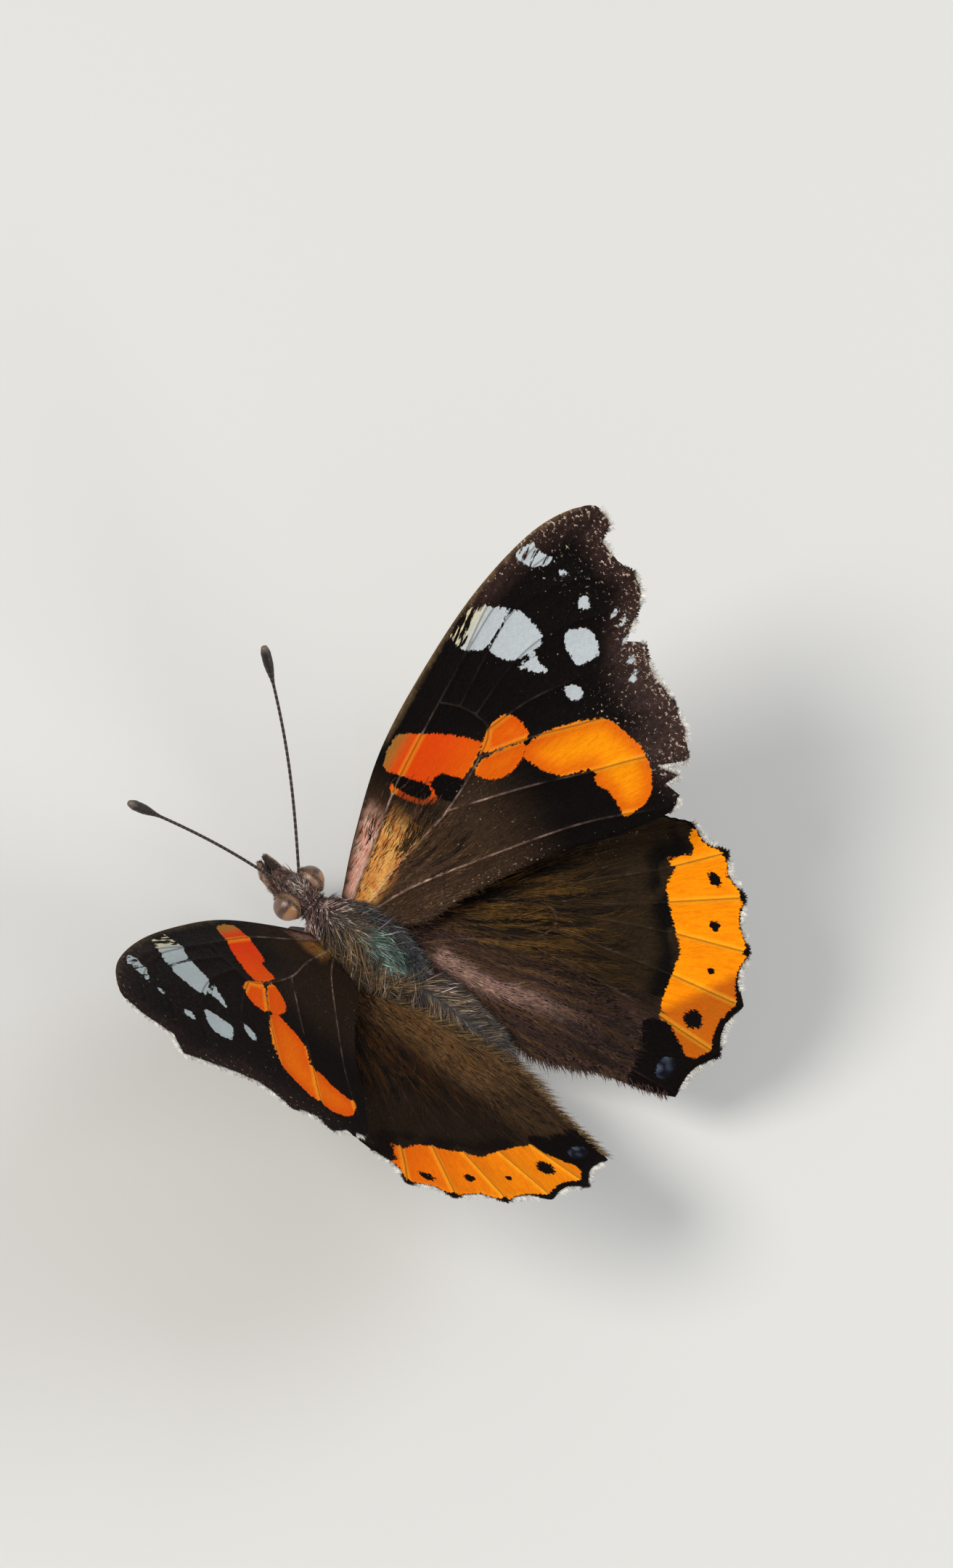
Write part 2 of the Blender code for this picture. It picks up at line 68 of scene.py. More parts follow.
def makeCamera():
    axes = np.array([view["right"], view["up"], view["back"]])
    place = (thoraxMiddle + axes[2] * view["distance"]) * mm
    forward = Vector(axes.T @ np.array(view["aim"])).normalized()
    side = forward.cross(Vector(view["up"])).normalized()
    up = side.cross(forward)
    turn = Matrix((side, up, -forward)).transposed().to_4x4()
    data = bpy.data.cameras.new("camera")
    data.lens = view["lens"]
    data.sensor_width = view["sensor"]
    data.clip_start, data.clip_end = view["clip"]
    camera = bpy.data.objects.new("camera", data)
    camera.matrix_world = Matrix.Translation(place) @ turn
    bpy.context.scene.collection.objects.link(camera)
    bpy.context.scene.camera = camera


studio = {
    "floorColour": tone(208, 206, 201),
    "floorRoughness": 0.85,
    "floorSize": 1.6,
    "sky": (0.86, 0.90, 0.96, 1.0),
    "skyStrength": 0.45,
    "lamps": [    # place in mm, width in mm, watts, colour
        ("keyLamp", (-330, 330, 560), 260, 3.6, (1.0, 0.975, 0.94)),
        ("fillLamp", (420, -160, 420), 380, 1.3, (0.90, 0.95, 1.0)),
        ("rimLamp", (60, -520, 330), 300, 1.2, (1.0, 0.98, 0.95)),
    ],
}


def makeStudio():
    world = bpy.data.worlds.new("softSky")
    world.use_nodes = True
    world.node_tree.nodes["Background"].inputs[0].default_value = studio["sky"]
    world.node_tree.nodes["Background"].inputs[1].default_value = studio["skyStrength"]
    bpy.context.scene.world = world
    bpy.context.scene.view_settings.view_transform = "Standard"
    half = studio["floorSize"] / 2
    data = bpy.data.meshes.new("floor")
    corners = [(-half, -half, 0), (half, -half, 0), (half, half, 0), (-half, half, 0)]
    data.from_pydata(corners, [], [(0, 1, 2, 3)])
    floor = bpy.data.objects.new("floor", data)
    bpy.context.scene.collection.objects.link(floor)
    paint = bpy.data.materials.new("floorPaint")
    paint.use_nodes = True
    shader = paint.node_tree.nodes["Principled BSDF"]
    shader.inputs["Base Color"].default_value = studio["floorColour"]
    shader.inputs["Roughness"].default_value = studio["floorRoughness"]
    data.materials.append(paint)
    for name, place, width, watts, colour in studio["lamps"]:
        lamp = bpy.data.lights.new(name, "AREA")
        lamp.shape = "DISK"
        lamp.size = width * mm
        lamp.energy = watts
        lamp.color = colour
        holder = bpy.data.objects.new(name, lamp)
        holder.location = Vector(place) * mm
        holder.rotation_euler = (-holder.location).to_track_quat("-Z", "Y").to_euler()
        bpy.context.scene.collection.objects.link(holder)


makeCamera()
makeStudio()
print("camera, floor and light set")


# Small helpers for pieces and node trees.
def addPiece(name, points, faces, materials, replaced=(), faceMaterials=None):
    data = bpy.data.meshes.new(name)
    data.from_pydata(((np.asarray(points) + thoraxMiddle) * mm).tolist(), [], faces)
    for material in materials:
        data.materials.append(material)
    if faceMaterials is not None:
        data.polygons.foreach_set("material_index", faceMaterials)
    data.shade_smooth()
    piece = bpy.data.objects.new(name, data)
    bpy.context.scene.collection.objects.link(piece)
    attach(piece, "root")
    if replaced:
        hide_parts(*replaced)
    return piece


def keepValues(piece, name, values):    # one number or one colour for each point
    values = np.asarray(values, dtype=np.float32)
    if values.ndim == 1:
        piece.data.attributes.new(name, "FLOAT", "POINT").data.foreach_set("value", values)
        return
    if values.shape[1] == 3:
        kind, field = "FLOAT_VECTOR", "vector"
    else:
        kind, field = "FLOAT_COLOR", "color"
    piece.data.attributes.new(name, kind, "POINT").data.foreach_set(field, values.ravel())


def quadRows(rows, sides):    # faces between rings of points, closed round each ring
    faces = []
    for start in range(0, (rows - 1) * sides, sides):
        for k in range(sides):
            following = (k + 1) % sides
            faces.append((start + k, start + sides + k, start + sides + following, start + following))
    return faces


def capped(rows, sides, first, final):    # the same, with a point at each end
    last = (rows - 1) * sides
    faces = quadRows(rows, sides)
    for k in range(sides):
        following = (k + 1) % sides
        faces += [(first, k, following), (final, last + following, last + k)]
    return faces


class Recipe:    # short way to write a material's nodes
    def __init__(self, name, **settings):
        self.material = bpy.data.materials.new(name)
        self.material.use_nodes = True
        self.tree = self.material.node_tree
        self.shader = self.tree.nodes["Principled BSDF"]
        for socket, value in settings.items():
            self.shader.inputs[socket.replace("_", " ")].default_value = value

    def add(self, kind, inputs=None, **settings):
        node = self.tree.nodes.new("ShaderNode" + kind)
        for key, value in settings.items():
            setattr(node, key, value)
        for key, value in (inputs or {}).items():
            self.put(value, node.inputs[key])
        return node

    def put(self, value, socket):
        if isinstance(value, bpy.types.NodeSocket):
            self.tree.links.new(value, socket)
        else:
            socket.default_value = value

    def read(self, name, kind="Fac"):
        return self.add("Attribute", attribute_name=name).outputs[kind]

    def sum(self, operation, one, two=0.0, clamp=False):
        return self.add("Math", {0: one, 1: two}, operation=operation, use_clamp=clamp).outputs[0]

    def plus(self, one, two):
        return self.sum("ADD", one, two)

    def less(self, one, two, clamp=False):
        return self.sum("SUBTRACT", one, two, clamp)

    def times(self, one, two):
        return self.sum("MULTIPLY", one, two)

    def mix(self, share, one, two, blend="MIX"):
        node = self.add("Mix", data_type="RGBA", blend_type=blend)
        self.put(share, node.inputs[0])
        self.put(one, node.inputs[6])
        self.put(two, node.inputs[7])
        return node.outputs[2]

    def spread(self, value, low, high, newLow=0.0, newHigh=1.0, smooth=True):
        kind = "SMOOTHSTEP" if smooth else "LINEAR"
        limits = {0: value, 1: low, 2: high, 3: newLow, 4: newHigh}
        return self.add("MapRange", limits, interpolation_type=kind).outputs[0]

    def noise(self, place, scale, detail=3.0, roughness=0.5):
        values = {"Vector": place, "Scale": scale, "Detail": detail, "Roughness": roughness}
        return self.add("TexNoise", values).outputs[0]

    def stretch(self, place, scale):
        return self.add("Mapping", {"Vector": place, "Scale": scale}).outputs[0]

    def darken(self, colour, shade):
        grey = self.add("CombineColor", {0: shade, 1: shade, 2: shade}).outputs[0]
        return self.mix(1.0, colour, grey, "MULTIPLY")

    def bump(self, height, strength, distance):
        values = {"Strength": strength, "Distance": distance * mm, "Height": height}
        return self.add("Bump", values).outputs[0]

    def finish(self, colour=None, roughness=None, normal=None):
        for socket, value in (("Base Color", colour), ("Roughness", roughness), ("Normal", normal)):
            if value is not None:
                self.put(value, self.shader.inputs[socket])
        return self.material


# Wings.
wingShape = {
    "foreHinge": (1.91, 2.10, 0.88),
    "hindHinge": (1.61, -1.10, 0.28),
    "pose": {    # angle above level, sweep towards the head, turn that lowers the front edge
        "forewingRight": (51.4, 6.5, 0.7),
        "forewingLeft": (49.2, 11.4, -6.0),
        "hindwingRight": (41.3, -16.0, -4.9),
        "hindwingLeft": (37.4, -9.5, 11.2),
    },
    "foreLength": 30.5,
    "foreCamber": 0.30,
    "foreDroop": 0.40,    # how far the front edge is bent down
    "hindLength": 20.0,
    "hindCamber": 0.15,
    "hindTuck": 0.9,    # how far the hindwing dips under the forewing
    "membrane": 0.11,    # thickness of the wing between its veins
    "veinRise": 0.10,
    "veinHalfWidth": 0.21,
    "pleat": 0.10,    # how far the membrane sinks between two veins
    "ripple": 0.06,
    "foreFan": (-5.0, 0.5),    # where the fan of hairs and scales starts
    "hindFan": (-2.0, 2.5),
    "edgeStep": 0.28,
    "fieldStep": 0.34,
    "fieldReach": (34, 20, 5),    # how far out, back and forward the grid of points goes
    "jitter": 0.05,
    "veinClearance": 0.12,    # bare strip beside veins and edge, so that no thin slivers form
    "longestLink": 0.6,
    "edgeWear": 0.10,
}

# Outline marks: distance out from the hinge, distance forward, and whether the edge turns sharply.
soft = False
sharp = True
foreFront = [(-0.6, 0.8, sharp), (3.4, 2.0, soft), (9.0, 3.2, soft), (15.0, 3.4, soft),
             (21.6, 3.0, soft), (27.4, 1.7, soft)]
foreOuterRight = [(30.7, -0.4, soft), (30.5, -2.1, sharp), (29.3, -2.0, sharp), (28.7, -3.5, soft),
                  (28.7, -4.8, sharp), (27.6, -5.8, soft), (24.7, -6.4, sharp), (25.2, -7.4, sharp),
                  (23.9, -8.7, soft), (23.2, -10.4, soft), (22.0, -12.1, sharp), (20.3, -13.2, sharp),
                  (19.0, -11.9, sharp), (19.2, -13.2, sharp), (18.2, -12.8, sharp), (18.1, -13.8, sharp)]
foreOuterLeft = [(30.6, -0.4, soft), (30.5, -2.1, soft), (29.1, -4.0, sharp), (29.9, -5.4, sharp),
                 (28.3, -6.2, soft), (25.8, -7.5, sharp), (24.0, -8.8, soft), (22.9, -10.7, sharp),
                 (21.1, -11.7, soft), (20.3, -13.0, sharp), (18.4, -13.3, soft)]
foreInner = [(16.7, -13.8, soft), (13.1, -11.5, soft), (10.5, -9.4, soft), (7.4, -7.4, soft),
             (3.9, -5.6, soft), (1.2, -4.4, soft), (-0.1, -3.0, soft), (-0.6, -1.4, sharp)]
hindFront = [(-0.6, 0.7, sharp), (2.2, 1.2, soft), (5.8, 1.7, soft), (12.5, 0.6, soft), (16.7, -1.8, soft)]
hindFirstTip = {"Right": (19.6, -4.8), "Left": (18.5, -5.0)}
hindTips = [(20.2, -7.5), (19.4, -10.4), (17.5, -13.3), (15.1, -15.8), (12.0, -17.5), (8.2, -18.0)]
hindScallop = 0.45
hindInner = [(7.0, -16.7, soft), (5.3, -14.2, soft), (3.9, -12.6, soft), (2.6, -11.2, soft),
             (2.0, -9.5, soft), (1.75, -7.8, soft), (1.5, -5.75, soft), (0.85, -4.1, soft), (0.5, -2.2, soft),
             (-0.6, -1.5, sharp)]
foreVeins = [
    [(-0.2, 0.1), (4.0, 0.7), (8.0, 1.3), (12.5, 1.5), (17.0, 1.6), (22.0, 1.9), (26.5, 1.2), (29.9, 0.2)],
    [(-0.2, -0.8), (4.6, -1.4), (8.6, -2.2), (12.9, -2.3), (14.8, -1.9), (15.1, -0.8), (14.9, 0.3),
     (14.3, 1.5)],
    [(0.4, -1.5), (2.9, -2.7), (6.9, -5.3), (12.8, -9.5), (16.9, -13.4)],
    [(8.6, -2.2), (12.8, -5.5), (16.2, -8.5), (18.7, -10.6), (20.6, -12.6)],
    [(12.9, -2.3), (15.7, -4.2), (18.2, -6.3), (20.5, -8.3), (22.6, -10.6)],
    [(14.8, -1.9), (18.0, -3.2), (21.4, -5.3), (24.6, -7.6)],
    [(15.1, -0.8), (19.3, -1.2), (22.4, -2.2), (24.8, -3.9), (26.6, -5.8)],
    [(14.9, 0.3), (19.2, 0.5), (22.4, 0.3), (25.6, -1.4), (28.4, -4.3)],
    [(17.0, 1.6), (22.6, 1.4), (27.0, 0.0), (29.6, -1.9)],
]
hindVeins = [
    [(-0.2, 0.0), (3.5, -0.3), (8.0, -0.6), (14.0, -2.4), (18.6, -4.6)],
    [(3.5, -0.3), (5.5, -1.2), (10.5, -3.2), (16.0, -5.9), (19.8, -7.4)],
    [(6.6, -1.7), (8.9, -3.3), (13.0, -6.4), (19.0, -10.2)],
    [(-0.2, -0.7), (3.5, -2.6), (6.6, -4.8), (8.6, -5.2), (9.3, -4.4), (8.9, -3.3)],
    [(9.3, -4.4), (13.3, -8.4), (17.2, -13.0)],
    [(8.6, -5.2), (12.1, -10.6), (14.8, -15.3)],
    [(6.6, -4.8), (9.6, -11.0), (11.9, -17.0)],
    [(0.4, -1.3), (2.9, -5.8), (5.6, -11.8), (8.2, -17.4)],
]

# Coloured marks on the forewing, each a closed curve in the wing's own plane.
foreWhite = [
    [(18.2, 2.95), (19.2, 2.9), (20.6, 2.75), (21.3, 2.2), (21.5, 1.6), (22.0, 0.75), (20.6, 0.60),
     (19.0, 0.75), (18.5, 1.2), (18.0, 2.0)],
    [(19.1, 0.42), (20.5, 0.45), (22.15, 0.45), (22.4, -0.3), (22.2, -1.3), (21.9, -1.9), (21.2, -2.05),
     (20.5, -1.75), (19.5, -1.1), (19.15, -0.5)],
    [(19.3, -1.5), (20.2, -1.95), (20.6, -2.1), (20.25, -2.6), (20.15, -3.2), (19.75, -2.9), (19.5, -2.2)],
    [(25.4, 2.0), (26.5, 1.5), (26.3, 0.8), (26.65, -0.2), (26.0, 0.0), (25.4, 0.5), (25.1, 1.1),
     (25.1, 1.7)],
    [(25.8, -0.9), (26.1, -0.75), (26.4, -1.05), (26.1, -1.4), (25.8, -1.25)],
    [(24.75, -3.0), (25.2, -2.6), (25.65, -3.0), (25.2, -3.45)],
    [(22.9, -3.0), (23.5, -3.4), (23.9, -4.0), (23.6, -4.8), (22.9, -5.3), (22.0, -4.95), (21.6, -4.6),
     (21.8, -4.0), (22.2, -3.3)],
    [(19.35, -5.2), (19.8, -4.65), (20.4, -4.95), (20.35, -5.6), (19.8, -5.8)],
]
foreFlecks = [(25.7, -4.9), (25.6, -5.6), (24.8, -6.3), (23.8, -7.2), (22.9, -7.8)]
foreRed = [
    [(10.4, 3.1), (11.5, 1.9), (12.8, 0.1), (13.7, -1.9), (12.9, -2.1), (11.1, -2.1), (10.7, -1.8),
     (10.5, -0.8), (9.4, -0.4), (8.6, 1.4), (8.4, 2.7)],
    [(7.5, 1.6), (8.5, 1.3), (9.3, -0.5), (9.3, -1.1), (8.6, -1.25), (8.0, -0.85), (7.45, 0.6)],
    [(13.3, -2.2), (14.8, -1.9), (16.3, -2.4), (16.3, -3.6), (15.7, -4.2), (14.3, -3.2)],
    [(12.0, -2.4), (13.3, -2.7), (15.3, -4.1), (14.7, -4.5), (13.2, -4.4), (12.1, -3.7), (11.7, -2.8)],
    [(14.7, -4.5), (15.7, -4.5), (17.1, -5.2), (19.1, -6.9), (19.7, -7.9), (19.5, -9.6), (19.1, -10.9),
     (17.6, -12.1), (16.5, -12.3), (15.1, -11.8), (15.2, -11.1), (15.7, -10.1), (15.7, -9.1), (16.4, -8.6),
     (14.8, -7.0), (14.4, -5.5)],
]
foreBars = [
    [(7.9, 1.75), (8.5, 1.7), (8.9, 0.6), (9.25, -0.5), (8.8, -0.85), (8.2, -0.6), (7.85, 0.6)],
    [(9.6, -0.5), (10.1, -0.6), (10.6, -1.2), (10.95, -2.25), (9.7, -2.35), (9.2, -2.0), (9.0, -1.1)],
]

# Marks on the hindwing.
hindBandInner = [(19.6, -4.9), (18.7, -5.5), (18.5, -6.4), (16.8, -5.7), (17.0, -6.5), (15.9, -7.0),
                 (14.9, -8.9), (14.1, -10.7), (13.2, -11.4), (11.0, -12.9), (9.8, -14.7), (10.2, -16.0),
                 (10.7, -17.4)]
hindBandOuter = [(12.0, -18.2), (15.4, -16.6), (18.0, -13.8), (20.0, -10.6), (21.0, -7.4), (20.4, -5.0)]
# Each black spot in the band: out, forward, width, height.
hindSpots = [(18.45, -8.4, 0.5, 0.9), (16.7, -10.75, 0.5, 0.6), (14.8, -12.9, 0.36, 0.45),
             (12.1, -14.7, 0.9, 1.0)]
hindBlue = [[(8.6, -15.7), (9.3, -15.6), (9.6, -16.1), (9.0, -16.7), (8.2, -16.6), (8.1, -16.1)]]
hindDark = [[(9.6, -13.0), (10.7, -13.9), (10.5, -15.4), (10.3, -16.3), (11.3, -17.6), (8.0, -18.4),
             (6.4, -17.2), (6.6, -15.4), (8.2, -14.4)]]
# Pale ridge beside the abdomen: painted highlight along the crest of the hindwing's fold.
hindFold = [(1.5, -2.45), (2.35, -4.5), (3.3, -6.2), (5.0, -8.6), (6.9, -11.5)]
nowhere = -9.0    # depth of a mark that a wing doesn't have


def curveThrough(before, start, end, after, share):
    return 0.5 * (2 * start + (end - before) * share
                  + (2 * before - 5 * start + 4 * end - after) * share ** 2
                  + (3 * start - before - 3 * end + after) * share ** 3)


def smoothStretch(points, step):    # points along a curve, the last one left out
    points = [np.array(point, float) for point in points]
    path = []
    for index in range(len(points) - 1):
        start, end = points[index], points[index + 1]
        before = points[index - 1] if index else 2 * start - end
        after = points[index + 2] if index + 2 < len(points) else 2 * end - start
        count = max(1, round(float(np.linalg.norm(end - start)) / step))
        path += [curveThrough(before, start, end, after, k / count) for k in range(count)]
    return path


def smoothLine(points, step):
    return np.array(smoothStretch(points, step) + [np.array(points[-1], float)])


def closedCurve(points, step=0.25):
    ring = [np.array(point, float) for point in points]
    count = len(ring)
    loop = []
    for k in range(count):
        four = [ring[(k + shift) % count] for shift in (-1, 0, 1, 2)]
        pieces = max(1, round(float(np.linalg.norm(four[2] - four[1])) / step))
        loop += [curveThrough(*four, j / pieces) for j in range(pieces)]
    return np.array(loop)


def outlineFrom(marks, step):
    loop = []
    stretch = []
    for out, forward, corner in marks + marks[:1]:
        stretch.append((out, forward))
        if corner and len(stretch) > 1:
            loop += smoothStretch(stretch, step)
            stretch = [(out, forward)]
    return np.array(loop)


def scalloped(tips, depth):
    marks = []
    for tip, following in zip(tips, tips[1:]):
        start, end = np.array(tip), np.array(following)
        inward = np.array([end[1] - start[1], start[0] - end[0]])
        bay = (start + end) / 2 + inward / np.linalg.norm(inward) * depth
        marks += [(*start, sharp), (*bay, soft)]
    return marks + [(*tips[-1], sharp)]


def toSegment(spots, start, end):
    run = end - start
    share = np.clip((spots - start) @ run / max(run @ run, 1e-9), 0.0, 1.0)
    return np.linalg.norm(spots - start - share[:, None] * run, axis=1)


def toPath(spots, path):
    best = np.full(len(spots), 1e9)
    for start, end in zip(path, path[1:]):
        best = np.minimum(best, toSegment(spots, start, end))
    return best


def depthIn(spots, loop):    # distance to a closed loop, above zero inside it
    closed = np.vstack([loop, loop[:1]])
    crossings = np.zeros(len(spots), int)
    for start, end in zip(closed, closed[1:]):
        straddles = (start[1] > spots[:, 1]) != (end[1] > spots[:, 1])
        rise = end[1] - start[1]
        reach = start[0] + (spots[:, 1] - start[1]) * (end[0] - start[0]) / (rise if rise else 1e-9)
        crossings += straddles & (spots[:, 0] < reach)
    distance = toPath(spots, closed)
    return np.where(crossings % 2 == 1, distance, -distance)


def depthInAny(spots, shapes):
    best = np.full(len(spots), nowhere)
    for shape in shapes:
        best = np.maximum(best, depthIn(spots, closedCurve(shape)))
    return best


def ramp(value, start, end):
    return np.clip((value - start) / (end - start), 0.0, 1.0)


def smoothRamp(value, start, end):
    share = ramp(value, start, end)
    return share * share * (3 - 2 * share)


def surfaceRise(kind, spots):
    out, forward = spots[:, 0], spots[:, 1]
    if kind == "fore":
        arch = wingShape["foreCamber"] * np.sin(np.pi * ramp(out, 0.0, wingShape["foreLength"]))
        return arch * ramp(forward, 3.4, -1.0) - wingShape["foreDroop"] * ramp(forward, -1.0, 3.2)
    arch = wingShape["hindCamber"] * np.sin(np.pi * ramp(out, 0.0, wingShape["hindLength"]))
    return arch - wingShape["hindTuck"] * ramp(forward, -4.5, 0.5) * (1.0 - ramp(out, 7.0, 15.0))


def onWing(name, spots, height):    # places in the butterfly's frame of spots on a wing
    kind = "fore" if name.startswith("fore") else "hind"
    side = 1.0 if name.endswith("Right") else -1.0
    lift, sweep, turn = (math.radians(angle) for angle in wingShape["pose"][name])
    out = spots[:, 0] * math.cos(sweep) - spots[:, 1] * math.sin(sweep)
    forward = spots[:, 0] * math.sin(sweep) + spots[:, 1] * math.cos(sweep)
    up = surfaceRise(kind, spots) + height - forward * math.sin(turn)
    hinge = wingShape[kind + "Hinge"]
    return np.stack([
        side * (hinge[0] + out * math.cos(lift) - up * math.sin(lift)),
        hinge[1] + forward * math.cos(turn),
        hinge[2] + out * math.sin(lift) + up * math.cos(lift),
    ], axis=1)


def wingMarks(name):
    if name.startswith("fore"):
        outer = foreOuterRight if name.endswith("Right") else foreOuterLeft
        return foreFront + outer + foreInner, foreVeins
    tips = [hindFirstTip[name[8:]]] + hindTips
    return hindFront + scalloped(tips, hindScallop) + hindInner, hindVeins


def valueNoise(spots, scale, seed):    # smooth random values, about -1 to 1
    chance = np.random.default_rng(seed)
    total = np.zeros(len(spots))
    for _ in range(5):
        angle = chance.uniform(0, 2 * math.pi)
        stretch = scale * chance.uniform(0.6, 1.7)
        phase = chance.uniform(0, 2 * math.pi)
        bend = chance.uniform(0.5, 1.5)
        line = spots[:, 0] * math.cos(angle) + spots[:, 1] * math.sin(angle)
        other = spots[:, 1] * math.cos(angle) - spots[:, 0] * math.sin(angle)
        total += np.sin(line * stretch + phase + bend * np.sin(other * stretch * 0.7))
    return total / 3.2


def wingGrid(name):
    marks, veins = wingMarks(name)
    loop = outlineFrom(marks, wingShape["edgeStep"])
    middle = np.array([10.0, -4.0])
    outerPart = ramp(loop[:, 0], 8.0, 16.0) * ramp(loop[:, 1], 1.5, -1.0)
    wear = wingShape["edgeWear"] * rng.uniform(0, 1, len(loop)) ** 2 * outerPart
    inward = middle - loop
    loop = loop + inward / np.linalg.norm(inward, axis=1)[:, None] * wear[:, None]
    lines = [smoothLine(vein, 0.3) for vein in veins]
    spots = [loop]
    edges = [(k, (k + 1) % len(loop)) for k in range(len(loop))]
    start = len(loop)
    for line in lines:
        along = np.gradient(line, axis=0)
        across = np.stack([-along[:, 1], along[:, 0]], axis=1)
        across /= np.linalg.norm(across, axis=1)[:, None]
        for offset in (0.0, 0.5, -0.5, 1.0, -1.0):
            row = line + across * offset * wingShape["veinHalfWidth"]
            row = row[depthIn(row, loop) > wingShape["veinClearance"]]
            spots.append(row)
            if offset == 0.0:
                edges += [(start + k, start + k + 1) for k in range(len(row) - 1)
                          if np.linalg.norm(row[k + 1] - row[k]) < wingShape["longestLink"]]
            start += len(row)
    step = wingShape["fieldStep"]
    outMost, backMost, frontMost = (int(reach / step) for reach in wingShape["fieldReach"])
    columns, rows = np.meshgrid(np.arange(-4, outMost), np.arange(-backMost, frontMost))
    field = np.stack([(columns + 0.5 * (rows % 2)) * step, rows * step * 0.87], axis=-1).reshape(-1, 2)
    field = field + rng.uniform(-wingShape["jitter"], wingShape["jitter"], field.shape)
    field = field[depthIn(field, loop) > 0.5 * step]
    near = np.min([toPath(field, line) for line in lines], axis=0)
    field = field[near > wingShape["veinHalfWidth"] + wingShape["veinClearance"]]
    spots = np.vstack(spots + [field])
    corners, _, faces, _, _, _ = delaunay_2d_cdt(
        [Vector(spot) for spot in spots.tolist()], edges, [list(range(len(loop)))], 1, 0.01)
    corners = np.array([tuple(corner) for corner in corners])
    return corners, faces, loop, lines


def mixTones(one, two, share):
    one, two = np.asarray(one, float), np.asarray(two, float)
    share = np.clip(np.asarray(share, float), 0, 1)[..., None]
    return one * (1 - share) + two * share


def shareOf(strength, fades, measures, left):    # how strongly one layer of paint covers each spot
    share = strength[left] if isinstance(strength, tuple) else strength
    for fade in fades:
        if isinstance(fade, str):
            share = share * measures[fade]
        elif fade[0] in ("below", "above"):
            hit = measures["chance"] < fade[1] if fade[0] == "below" else measures["chance"] > fade[1]
            share = share * hit
        else:
            share = share * smoothRamp(measures[fade[0]], *fade[1:])
    return share


def laid(layers, measures, left=False, colour=None):    # colour of each spot, layer over layer
    for shade, strength, *fades in layers:
        shade = measures[shade] if isinstance(shade, str) else tone(*shade)
        if colour is None:    # as many spots as the first measure has
            colour = np.tile(shade, (len(next(iter(measures.values()))), 1))
        colour = mixTones(colour, shade, shareOf(strength, fades, measures, left))
    return colour


# Layers of paint: screen colour, strength, then what fades it in, which is a measure with the values where
# it starts and is full, or a measure as it stands. A pair of strengths is for the right and the left wing.
# Measures: out, forward, far from the hinge, edge, and those that markForewing and markHindwing add.
wingPaint = {
    "forewing": {
        "ground": [
            ((12, 8, 7), 1),
            ((64, 47, 33), 1, ("far", 15.5, 9.0), ("forward", 0.0, -3.0)),
            ((58, 40, 36), 0.8, ("edge", 2.0, 0.4), ("out", 19.5, 22.0)),
            ((66, 49, 45), (0.85, 0.3), ("edge", 3.8, 0.8), ("forward", -5.2, -7.2), ("out", 17.0, 20.0)),
            ((70, 50, 34), 1, ("far", 9.5, 4.0)),
            ((122, 98, 68), 0.8, ("edge", 0.24, 0.06), ("forward", -0.5, 0.5), ("out", 9.0, 11.0)),
            ("gold", 1, "atRoot", ("behindFront", 0.02, 0.16), ("cell", -1.5, -0.7), ("out", 7.3, 4.6)),
            ("pink", 1, "atRoot", ("behindFront", 0.0, -0.15), ("out", 6.6, 4.0), ("edge", 0.15, 0.5)),
            # darkens the whole left forewing: painted shade
            ((16, 11, 9), (0, 0.65)),
        ],
        "band": [
            # the right band's brighter, yellower orange is painted light shining through the wing; the left
            # band keeps a deeper red
            ((220, 68, 8), 1), ((255, 152, 4), (1, 0), "rightCool"),
            ((216, 52, 4), (0, 1)), ((226, 104, 6), (0, 1), "leftCool"),
            ((214, 74, 8), 0.65, ("red", 1.3, 0.15), ("slant", 6.5, 11.0)),
            ((150, 54, 16), 1, ("out", 9.0, 8.2), ("forward", 1.6, 0.8)),
            ((150, 108, 44), 1, ("forward", 1.7, 2.7)),
        ],
        "spot": [
            # the left wing's greyer white is painted shade
            ((186, 193, 196), 1), ((160, 168, 168), (0, 1)),
            ((212, 200, 158), 1, ("forward", 1.5, 2.7), ("out", 23.0, 21.0)),
        ],
        "under": [
            ((34, 25, 24), 1),
            ((128, 106, 86), 1, ("out", 21.5, 27.0)),
            ((104, 84, 66), 1, ("edge", 1.5, 0.3), ("out", 15.0, 19.0)),
            ((74, 92, 142), 1, ("blueLine", 0.35, 0.1), ("forward", -3.0, -1.5)),
            ((96, 78, 62), 1, ("forward", -6.0, -11.0), ("out", 18.0, 12.0)),
        ],
        "underBand": [((204, 66, 40), 1), ((236, 138, 84), 1, ("forward", 0.0, -10.0))],
        "underSpot": [((214, 216, 214), 1)],
    },
    "hindwing": {
        "ground": [
            ((46, 34, 20), 1),
            ((70, 52, 33), 1, ("far", 15.0, 8.0)),
            ((10, 7, 6), 1, ("red", -1.7, -0.6), ("blotch", -0.45, -0.05)),
            # darkens the left hindwing: painted shade
            ((24, 15, 10), (0, 0.6)),
            ((70, 48, 30), (0, 0.7), "inner"),
            ((84, 58, 54), (0.85, 0), "inner"),
            # the pale ridge on the right hindwing is painted highlight along the fold's crest
            ((196, 152, 140), (0.8, 0), "ridge"),
        ],
        "band": [
            # the right band's bright orange is painted light shining through the wing, and its darker lower
            # part below the shaded line is painted shade
            ((255, 146, 2), 1), ((186, 94, 12), (1, 0), ("shaded", -12.7, -13.6)),
            ((222, 96, 4), (0, 1)), ((236, 132, 8), (0, 1), ("forward", -5.0, -15.0)),
        ],
        "spot": [((14, 15, 22), 1), ((74, 84, 100), 1.3, "shimmer")],
        "under": [
            ((58, 44, 36), 1),
            ((112, 92, 74), 1, "spread"),
            ((206, 186, 158), 1, ("frontPatch", 1.3, 0.8)),
        ],
        "underBand": [((140, 100, 70), 1)],    # stays hidden: the hindwing has no band below
        "underSpot": [((90, 100, 140), 1)],
    },
}
# pale vein colour: partly the veins' own colour, partly painted highlight
wingVeinPaint = [((168, 136, 122), 1), ((222, 184, 164), 1, ("far", 16.0, 6.0))]
